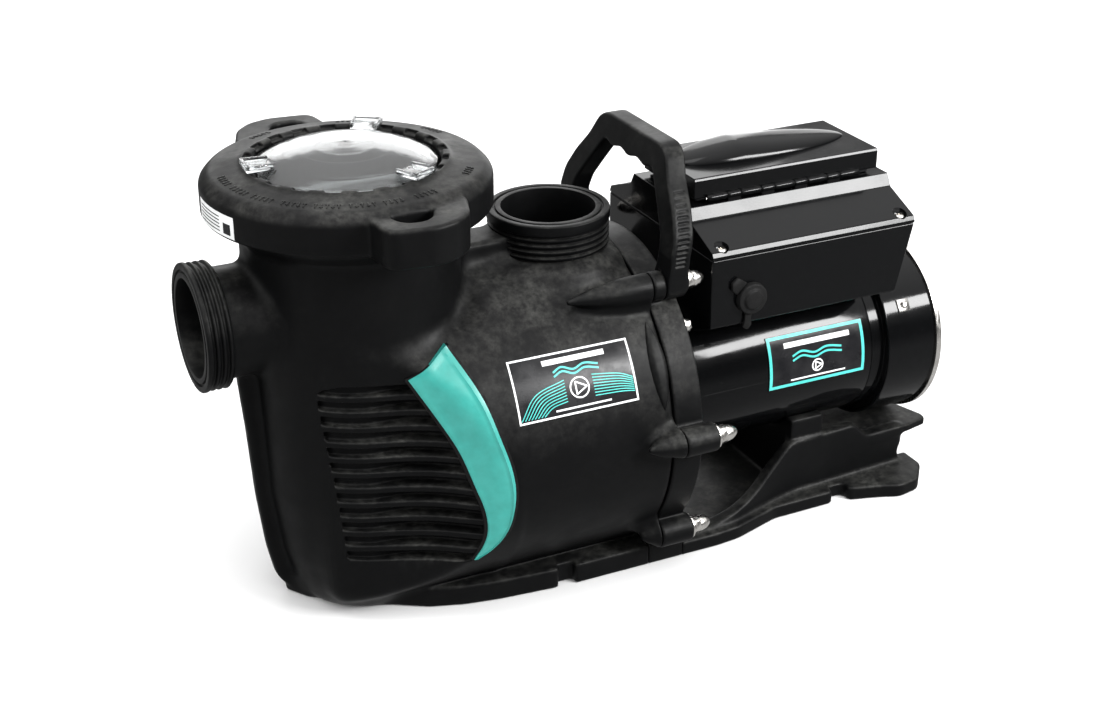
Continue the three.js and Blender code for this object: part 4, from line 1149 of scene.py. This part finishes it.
def lens_pads():
    """The raised pads with pointed ends beside the parting line, on both sides."""
    rows, columns = 40, 13
    u = np.linspace(0, 1, rows)[:, None]
    v = np.linspace(-1, 1, columns)[None, :]
    x = 43.4 + (0.3 + 7.6 * np.sin(math.pi * u) ** 0.8) * v
    lift = 3.4 * np.sin(math.pi * u) ** 0.6 * (1 - v ** 4)
    for name, from_deg, to_deg in (("near", 45, 76), ("far", -76, -45)):
        degrees = from_deg + (to_deg - from_deg) * u + 0 * v
        pad = sheet_solid(f"parting_pad_{name}", on_drum(x, degrees, VOLUTE_R + 0.2 + lift),
                          on_drum(x, degrees, VOLUTE_R - 1.5))
        place(pad, "casing", "moulded_plastic")


# ---------------------------------------------------------------- lid
def dome_height(radius):
    """How high the window stands over its rim, before its wall thickness."""
    return 16.5 * (1 - (radius / 77) ** 2.4)


def clear_lid():
    """The see-through lid: a flange under the ring, a domed window and three stop tabs."""
    rim_z = 394
    radii = [76, 70, 62, 52, 40, 26, 12, 0]
    outside = [(rim_z + dome_height(r), r) for r in radii]
    inside = [(rim_z - 4 + dome_height(r), r * 0.95) for r in reversed(radii)]
    profile = [(POT_RIM_Z + 1, 96), (POT_RIM_Z + 1, 107), (388.6, 107), (388.6, 79), (390, 77.6),
               *outside, *inside, (386, 72), (377, 73), (377, 96)]
    lid = lathe("clear_lid_shell", profile, "z", POT_AXIS, 128, 1.2)
    place(lid, "lid", "clear_plastic", "clear_lid")
    for i, degrees in enumerate((-62, 57, 177)):
        base = prism("base", [(63, -11), (86, -13), (86, 13), (63, 11)], "z", 399, 401.4, 0.6, 2)
        walls = []
        for side in (-1, 1):
            wall = [(63, side * 11), (86, side * 13), (86, side * 10), (63, side * 8.4)]
            walls.append(prism("wall", wall, "z", 401, 404, 0.6))
        end = prism("end", [(83, -12), (86, -12), (86, 12), (83, 12)], "z", 401, 404, 0.6)
        tab = merged(f"lid_tab_{i + 1}", base, end, *walls)
        smooth(tab)
        tab.data.transform(Matrix.Rotation(math.radians(degrees), 4, "Z"))
        moved(tab, POT_AXIS)
        place(tab, "lid", "clear_plastic")


def on_ring(degrees, z, radius):
    """Points round the pot's axis."""
    angle = np.radians(degrees)
    return np.stack([POT_X + radius * np.cos(angle), radius * np.sin(angle), z + 0 * angle], -1)


def ring_patch(name, from_deg, to_deg, z0, z1, radii, rows=16):
    """A thin plate bent round the ring, between two radii."""
    degrees, z = np.meshgrid(np.linspace(from_deg, to_deg, rows), np.array([z0, z1], float),
                             indexing="ij")
    return sheet_solid(name, on_ring(degrees, z, radii[1]), on_ring(degrees, z, radii[0]))


def ring_sticker():
    """A white sticker on the ring's skirt, with plain rules and a plain square."""
    ink = (RING_R + 0.2, RING_R + 0.42)
    sticker = ring_patch("ring_sticker", -185, -157, 360.5, 379, (RING_R - 0.1, RING_R + 0.3))
    place(sticker, "ring", "white_print")
    rules = [ring_patch("rule", -183, -166, z, z + 0.9, ink) for z in (363, 366, 369, 372, 375)]
    square = ring_patch("square", -163.5, -159, 363, 372, ink, 4)
    place(merged("ring_sticker_print", square, *rules), "ring", "label")


def ring_marks():
    """Short raised strokes in groups round the ring's shoulder, standing for moulded markings."""
    slope = math.radians(9.5)
    strokes = []
    for first, count in ((176, 17), (222, 22), (282, 5), (318, 4), (20, 5), (64, 5), (110, 6)):
        for i in range(count):
            if i % 6 == 5:
                continue
            degrees = first + 2.5 * i
            for radius, length, width in ((105, 6.4, 1.0), (103 + 3.4 * (i % 2), 1.1, 3.2)):
                stroke = slab(radius - length / 2, radius + length / 2, -width / 2, width / 2,
                              -0.9, 0.8, 0.25)
                stroke.data.transform(Matrix.Rotation(slope, 4, "Y"))
                skin_z = np.interp(radius, (88, 113.5), (396.4, 392))
                moved(stroke, (0, 0, skin_z + math.sin(slope) * radius))
                stroke.data.transform(Matrix.Rotation(math.radians(degrees), 4, "Z"))
                strokes.append(moved(stroke, POT_AXIS))
    place(merged("ring_marks", *strokes), "ring", "moulded_plastic")


# ---------------------------------------------------------------- fasteners
def hexagon(y, z, radius, turn=0):
    """The six corners of a nut or a screw head whose axis is along X."""
    angles = [math.radians(60 * i + turn) for i in range(6)]
    return [(y + radius * math.cos(a), z + radius * math.sin(a)) for a in angles]


def body_bolt(number, y, z):
    """A stud with a washer and an acorn nut."""
    centre = (0, y, z)
    washer = lathe("washer", disc(84.3, 86.3, 11), "x", centre, 48, 0.5)
    nut = prism("nut", hexagon(y, z, 8.6, 15), "x", 86.3, 94.5, 0.8)
    acorn = [(93.5, 0), (93.5, 7.3), (97, 7.2), (101, 6.2), (104.5, 4.2), (106.6, 1.8), (107, 0)]
    dome = lathe("dome", acorn, "x", centre, 40, 0.8)
    stud = lathe("stud", disc(46, 84.5, 4), "x", centre, 24, 0.4)
    made = merged(f"body_bolt_{number}_set", washer, nut, dome, stud)
    smooth(made, 30)
    place(made, "casing", "stainless", f"body_bolt_{number}")


def small_screw(name, radius, height):
    """A pan-head screw standing on the origin, with a plain cross in its head."""
    head = lathe("head", [(-1, 0), (-1, radius), (height * 0.6, radius), (height, radius * 0.6),
                          (height, 0)], "z", segments=40, corner=0.5)
    arms = [slab(-radius * 0.6, radius * 0.6, -0.5, 0.5, height - 0.9, height + 1),
            slab(-0.5, 0.5, -radius * 0.6, radius * 0.6, height - 0.9, height + 1)]
    made = carved(head, *arms)
    made.name = name
    smooth(made, 30)
    return made


def stood_on_drum(made, x, degrees, radius):
    """Moves a piece from the origin out to a drum round the shaft, facing outwards."""
    made.data.transform(Matrix.Rotation(math.radians(degrees), 4, "X"))
    return moved(made, (x, *bolt_place(degrees, radius)))


def shroud_clip():
    """The bright earthing clip and its screw, on the near side of the shroud."""
    x, degrees = 340, 56
    plate = stood_on_drum(slab(-6.5, 6.5, -6, 6, -0.4, 1.2, 0.4), x, degrees, SHROUD_R)
    screw = stood_on_drum(small_screw("screw", 3.6, 3.4), x, degrees, SHROUD_R + 1)
    place(merged("shroud_clip", plate, screw), "casing", "stainless")


def plate_screw():
    """A small hexagon screw on the back of the seal plate, between two studs."""
    y, z = bolt_place(48.4, 138)
    x = PLATE_BACK_X
    washer = lathe("washer", disc(x - 0.5, x + 1.2, 7.6), "x", (0, y, z), 40, 0.4)
    head = prism("head", hexagon(y, z, 6), "x", x + 1, x + 6.4, 0.6)
    place(merged("plate_screw", washer, head), "casing", "stainless")


# ---------------------------------------------------------------- motor
def motor():
    """The motor's shell and its two end bells, turned round the shaft."""
    shell = [(105.3, 73), (105.3, MOTOR_R), (304.7, MOTOR_R), (304.7, 73)]
    front = [(80.3, 30), (80.3, 72), (90, 72.5), (96, 79), (105, 79), (105, 72), (112, 72),
             (112, 60), (103, 60), (103, 25), (118, 25), (118, 20.2), (100, 20.2), (100, 12),
             (84, 12), (84, 30)]
    rear = [(305, 12), (305, 20.2), (289, 20.2), (289, 25), (305, 25), (305, MOTOR_R),
            (319, MOTOR_R), (319, 82.6), (324, 82.6), (324, 12)]
    for name, profile, corner, node_name in (("motor_shell_skin", shell, 0.6, "motor_shell"),
                                             ("front_bell_skin", front, 0.8, "front_end_bell"),
                                             ("rear_bell_skin", rear, 0.5, "rear_end_bell")):
        made = lathe(name, profile, "x", SHAFT, 128, corner)
        place(made, "casing", "black_paint", node_name)


def fan_shroud():
    """The cup over the fan, with rows of air slots in its end and a bright trim ring."""
    profile = [(318, 83), (318, SHROUD_R), (372.5, SHROUD_R), (379, 80), (379, 0), (375.6, 0),
               (375.6, 78), (371, 83)]
    cup = lathe("fan_shroud_cup", profile, "x", SHAFT, 160, 1.6, 4)
    pitch, half_slot, half_rib, slots_r = 15, 3.5, 4, 72
    slots = []
    for i in range(-4, 5):
        z = SHAFT_Z + i * pitch
        half = math.sqrt(slots_r ** 2 - (z - SHAFT_Z) ** 2)
        for y0, y1 in ((-half, -half_rib), (half_rib, half)):
            slots.append(slab(373, 384, y0, y1, z - half_slot, z + half_slot))
    carved(cup, merged("slots", *slots))
    place(flat_faces(cup), "casing", "black_paint", "fan_shroud")
    trim = [(371.6, 84), (371.6, 88.8), (377, 88.8), (377, 84)]
    place(lathe("shroud_trim_ring", trim, "x", SHAFT, 160, 0.6), "casing", "stainless")


def shell_seam():
    """The rolled seam of the motor's shell, which the label crosses."""
    radii = (MOTOR_R - 0.2, MOTOR_R + 0.35)
    strips = [drum_patch("seam", x0, x1, 88.3, 88.9, radii, 3)
              for x0, x1 in ((108, 189), (297, 304))]
    place(merged("motor_shell_seam", *strips), "casing", "black_paint")


# ---------------------------------------------------------------- drive
def hinge_ring(x0, x1):
    profile = [(x0, HINGE_BORE_R), (x0, HINGE_R), (x1, HINGE_R), (x1, HINGE_BORE_R)]
    return lathe("knuckle", profile, "x", (0, HINGE_Y, HINGE_Z), 32, 0.4, 2)


def drive_housing():
    """The lower half of the drive box, saddled over the motor. Its rear end slants in."""
    y, top = DRIVE_HALF_Y, DRIVE_JOIN_Z - GAP
    low, slant = 205, 19
    outline = [(-y, 222), (-60, low), (60, low), (y, 222), (y, top), (-y, top)]
    box = prism("drive_housing_box", outline, "x", DRIVE_X0, DRIVE_X1, 1.6)
    for vertex in box.data.vertices:
        share = (vertex.co.x - DRIVE_X0 * MM) / ((DRIVE_X1 - DRIVE_X0) * MM)
        drop = (top * MM - vertex.co.z) / ((top - low) * MM)
        vertex.co.x -= slant * MM * share * drop
    room = slab(DRIVE_X0 + 4, DRIVE_X1 - 24, -y + 4, y - 4, 234, 300)
    saddle = lathe("saddle", disc(90, 340, SHROUD_R + 1), "x", SHAFT, 128, 0)
    port = lathe("port", disc(-110, -80, 9), "y", DRIVE_PORT, 48, 0)
    gland = lathe("gland", disc(80, 110, 11), "y", (150, 0, 250), 48, 0)
    return flat_faces(carved(box, room, saddle, port, gland))


def drive_cover():
    """The upper half of the drive box, with a recess at each corner screw and the hinge's root."""
    y, z = DRIVE_HALF_Y, DRIVE_JOIN_Z
    half = [(y, z), (y, z + 2), (y - 2.4, z + 6.6), (56, 309), (50, DRIVE_TOP_Z)]
    outline = half + [(-u, v) for u, v in reversed(half)]
    cover = prism("drive_cover_box", outline, "x", DRIVE_X0, DRIVE_X1, 0.7)
    inside = [(-y + 6, z - 1), (y - 6, z - 1), (48, 305), (-48, 305)]
    tools = [prism("inside", inside, "x", DRIVE_X0 + 6, DRIVE_X1 - 6, 0)]
    for sx, sy in COVER_SCREWS:
        tools.append(lathe("seat", disc(z + 4, z + 40, 6.6), "z", (sx, sy, 0), 40, 0))
        tools.append(lathe("hole", disc(z - 5, z + 10, 2.8), "z", (sx, sy, 0), 24, 0))
    cover = flat_faces(carved(cover, *tools))
    roots = []
    for x0, x1 in ROOT_KNUCKLES:
        roots.append(slab(x0, x1, HINGE_Y - 2.5, HINGE_Y + 1.5, DRIVE_TOP_Z - 4, HINGE_Z - 2))
        roots.append(hinge_ring(x0, x1))
    return merged("drive_cover_skin", cover, *roots)


def keypad_hump():
    """The raised tear-drop on the keypad cover, blunt at the pump end, pointed at the other."""
    rows, columns = 56, 29
    u = np.linspace(0, 1, rows)[:, None]
    v = np.linspace(-1, 1, columns)[None, :]
    x = 126 + 182 * (1 - (1 - u) ** 1.15)
    half = 41 * np.sqrt(np.clip(u, 0, 1) + 0.004) ** 0.8 * (1 - u) ** 0.62 * 1.32
    half = np.minimum(half, 38)
    y = 3 + half * v
    crown = 19 * np.clip(3.4 * u, 0, 1) ** 0.55 * (1 - u) ** 0.6
    z = KEYPAD_COVER_TOP_Z - 0.6 + crown * (1 - np.abs(v) ** 3) ** 0.7
    outer = np.stack([x + 0 * v, y, z], -1)
    inner = np.stack([x + 0 * v, y, 0 * z + KEYPAD_COVER_TOP_Z - 1.2], -1)
    return sheet_solid("hump", outer, inner)


def keypad_cover():
    """The flap over the keypad: a shallow box, open below, with its hinge knuckles."""
    y, z0, top = KEYPAD_HALF_Y, HINGE_Z, KEYPAD_COVER_TOP_Z
    flap = prism("flap", [(-y, z0), (y, z0), (y, top - 2.8), (y - 1.5, top), (1.5 - y, top),
                          (-y, top - 2.8)], "x", KEYPAD_X0, KEYPAD_X1, 0.7)
    tools = [slab(KEYPAD_X0 + 4, KEYPAD_X1 - 4, -y + 4, y - 4, z0 - 4, top - 4)]
    tools += [lathe("gap", disc(x0 - 1, x1 + 1, HINGE_R + 0.6), "x", (0, HINGE_Y, HINGE_Z), 32, 0)
              for x0, x1 in ROOT_KNUCKLES]
    tools.append(lathe("bore", disc(100, 330, HINGE_BORE_R), "x", (0, HINGE_Y, HINGE_Z), 24, 0))
    flap = flat_faces(carved(flap, *tools))
    lip = slab(KEYPAD_X0 + 6, KEYPAD_X1 - 6, y - 3, y - 0.4, z0 - 3, z0 + 3, 0.4)
    knuckles = [hinge_ring(x0, x1) for x0, x1 in COVER_KNUCKLES]
    return merged("keypad_cover_skin", flap, lip, keypad_hump(), *knuckles)


def drive():
    place(drive_housing(), "casing", "gloss_plastic", "drive_housing")
    place(drive_cover(), "casing", "gloss_plastic", "drive_cover")
    place(keypad_cover(), "keypad_lid", "gloss_plastic", "keypad_cover")
    bevelled(nodes["keypad_panel"], 0.8)
    for i, (x, y) in enumerate(COVER_SCREWS):
        name = f"cover_screw_{i + 1}"
        seat = (x, y, DRIVE_JOIN_Z + 4)
        head = moved(small_screw("head", 4.6, 3.2), seat)
        shank = lathe("shank", disc(-20, 0.5, 2.3), "z", seat, 24, 0)
        place(merged(f"{name}_set", head, shank), "casing", "stainless", name)


def port_cap():
    """The rubber cap on the drive's port, with its rim, pull tab and strap."""
    button = [(-106, 0), (-105.4, 8.6), (-103.4, 10), (-103, 14.2), (-97.3, 15), (-97.3, 0)]
    pull = [(136, 252), (131, 257), (131, 264), (137, 268), (146, 262)]
    tail = [(146, 236), (154, 236), (152, 226), (153, 220), (149, 216), (144, 219), (146, 226)]
    cap = lathe("port_cap_button", button, "y", DRIVE_PORT, 64, 1.0)
    plug = lathe("plug", disc(-97.6, -89, 8.7), "y", DRIVE_PORT, 32, 0.6)
    tab = prism("tab", pull, "y", -101, -97.4, 0.7)
    strap = prism("strap", tail, "y", -100, -97.4, 0.7, 1.5)
    place(merged("port_cap_set", cap, plug, tab, strap), "port_cap", "rubber", "port_cap")


# ---------------------------------------------------------------- studio
# Each light's name, place and target, in metres, then its width, height and power in watts.
SOFTBOXES = [
    ("overhead", (-0.35, -0.25, 1.9), (-0.1, 0, 0.2), 1.1, 0.8, 11),
    ("left", (-1.6, -0.5, 0.9), (-0.1, 0, 0.2), 0.6, 1.2, 7),
    ("right", (1.0, -1.22, 1.03), (0.2, 0, 0.25), 0.85, 0.32, 46),
    ("behind", (0.42, 1.4, 0.74), (-0.12, 0, 0.4), 1.25, 0.8, 8),
    ("far_low", (1.3, 1.3, 0.42), (-0.1, 0, 0.15), 1.0, 0.7, 4),
]


def studio():
    """A near-white floor under a white sky, with five softboxes."""
    scene = bpy.context.scene
    scene.view_settings.view_transform = "Standard"
    floor = backdrop()
    made = Finish("studio_floor", Roughness=0.9, Specular_IOR_Level=0.1)
    made.colour(made.colours(made.noise(400), (0.66, 0.66, 0.66), (0.68, 0.68, 0.68)))
    floor.data.materials.append(made.material)
    # Faces that look down reflect the dark part of the sky, and not the floor.
    floor.visible_glossy = False
    scene.world = sky()
    for light in SOFTBOXES:
        softbox(*light)


def backdrop():
    """A round floor that curves up into a low wall all round."""
    flat, curve, wall = 6000, 1500, 3500
    turns = [math.pi / 2 * i / 8 for i in range(9)]
    profile = [(0, 0), (flat, 0)]
    profile += [(flat + curve * math.sin(t), curve * (1 - math.cos(t))) for t in turns[1:]]
    profile.append((flat + curve, wall))
    count, segments = len(profile), 64
    points, faces = [], []
    for i in range(segments):
        angle = 2 * math.pi * i / segments
        points += [(r * math.cos(angle), r * math.sin(angle), z - 0.2) for r, z in profile]
        here, there = i * count, (i + 1) % segments * count
        faces += [(here + j, there + j, there + j + 1, here + j + 1) for j in range(count - 1)]
    made = new_object("floor", points, faces)
    made.data.shade_smooth()
    return made


def sky():
    """White light, brightest overhead, dark at eye level and faint from below."""
    world = bpy.data.worlds.new("studio")
    world.use_nodes = True
    tree = world.node_tree
    direction = tree.nodes.new("ShaderNodeTexCoord")
    parts = tree.nodes.new("ShaderNodeSeparateXYZ")
    tree.links.new(direction.outputs["Generated"], parts.inputs[0])
    total = tree.nodes.new("ShaderNodeMath")
    for i, span in enumerate(((0.2, 1.0, 0.1, 2.6), (0.0, -0.25, 0.0, 0.45))):
        band = tree.nodes.new("ShaderNodeMapRange")
        for socket, value in zip(("From Min", "From Max", "To Min", "To Max"), span):
            band.inputs[socket].default_value = value
        tree.links.new(parts.outputs["Z"], band.inputs["Value"])
        tree.links.new(band.outputs["Result"], total.inputs[i])
    tree.nodes["Background"].inputs["Color"].default_value = (1, 1, 1, 1)
    tree.links.new(total.outputs[0], tree.nodes["Background"].inputs["Strength"])
    return world


def softbox(name, position, target, width, height, power):
    light = bpy.data.lights.new(name, "AREA")
    light.shape = "RECTANGLE"
    light.size, light.size_y, light.energy = width, height, power
    holder = bpy.data.objects.new(name, light)
    holder.location = position
    holder.rotation_euler = (Vector(target) - Vector(position)).to_track_quat("-Z", "Y").to_euler()
    bpy.context.scene.collection.objects.link(holder)


CAMERA_AZIMUTH = -25.8
CAMERA_ELEVATION = 25.8
CAMERA_TARGET = Vector((0.002, 0, 0.1733))
CAMERA_DISTANCE = 1.661
CAMERA_SENSOR_MM = 36
CAMERA_LENS_MM = 59.5


def camera():
    """A camera that looks down at the pump's near side from the pot's end."""
    data = bpy.data.cameras.new("camera")
    data.sensor_width = CAMERA_SENSOR_MM
    data.lens = CAMERA_LENS_MM
    holder = bpy.data.objects.new("camera", data)
    a, e = math.radians(CAMERA_AZIMUTH), math.radians(CAMERA_ELEVATION)
    back = Vector((math.sin(a) * math.cos(e), -math.cos(a) * math.cos(e), math.sin(e)))
    holder.location = CAMERA_TARGET + back * CAMERA_DISTANCE
    holder.rotation_euler = (-back).to_track_quat("-Z", "Y").to_euler()
    bpy.context.scene.collection.objects.link(holder)
    bpy.context.scene.camera = holder


# ---------------------------------------------------------------- assembly
def finish_cad_nodes():
    """Gives every CAD node that stays the finish of its material slot."""
    for name, node in nodes.items():
        slots = [s.material.name.split(".")[0] if s.material else "" for s in node.material_slots]
        for i, slot_name in enumerate(slots):
            node.material_slots[i].material = LOOKS.get(slot_name, LOOKS["moulded_plastic"])


camera()
studio()
finish_cad_nodes()
place(pump_body(), "casing", "moulded_plastic", "pump_body")
place(clamp_ring(), "ring", "moulded_plastic", "clamp_ring")
place(seal_plate(), "casing", "moulded_plastic", "seal_plate")
place(carry_handle(), "casing", "moulded_plastic", "carry_handle")
place(motor_base(), "casing", "moulded_plastic", "motor_base")
for side_name, side in (("near", -1), ("far", 1)):
    place(stripe(f"stripe_{side_name}_trim", side), "casing", "teal_trim", f"stripe_{side_name}")
    # The wider dark strip under each stripe is a painted shadow: it stands in for the shade in the
    # gap round the stripe.
    place(stripe(f"stripe_{side_name}_painted_shadow", side, 2.6, 1.2, 1.2), "casing", "rubber")
volute_label()
motor_label()
lens_pads()
clear_lid()
ring_sticker()
ring_marks()
for index, degrees in enumerate(BOLT_ANGLES):
    body_bolt(index + 1, *bolt_place(degrees))
motor()
shell_seam()
fan_shroud()
shroud_clip()
plate_screw()
drive()
port_cap()
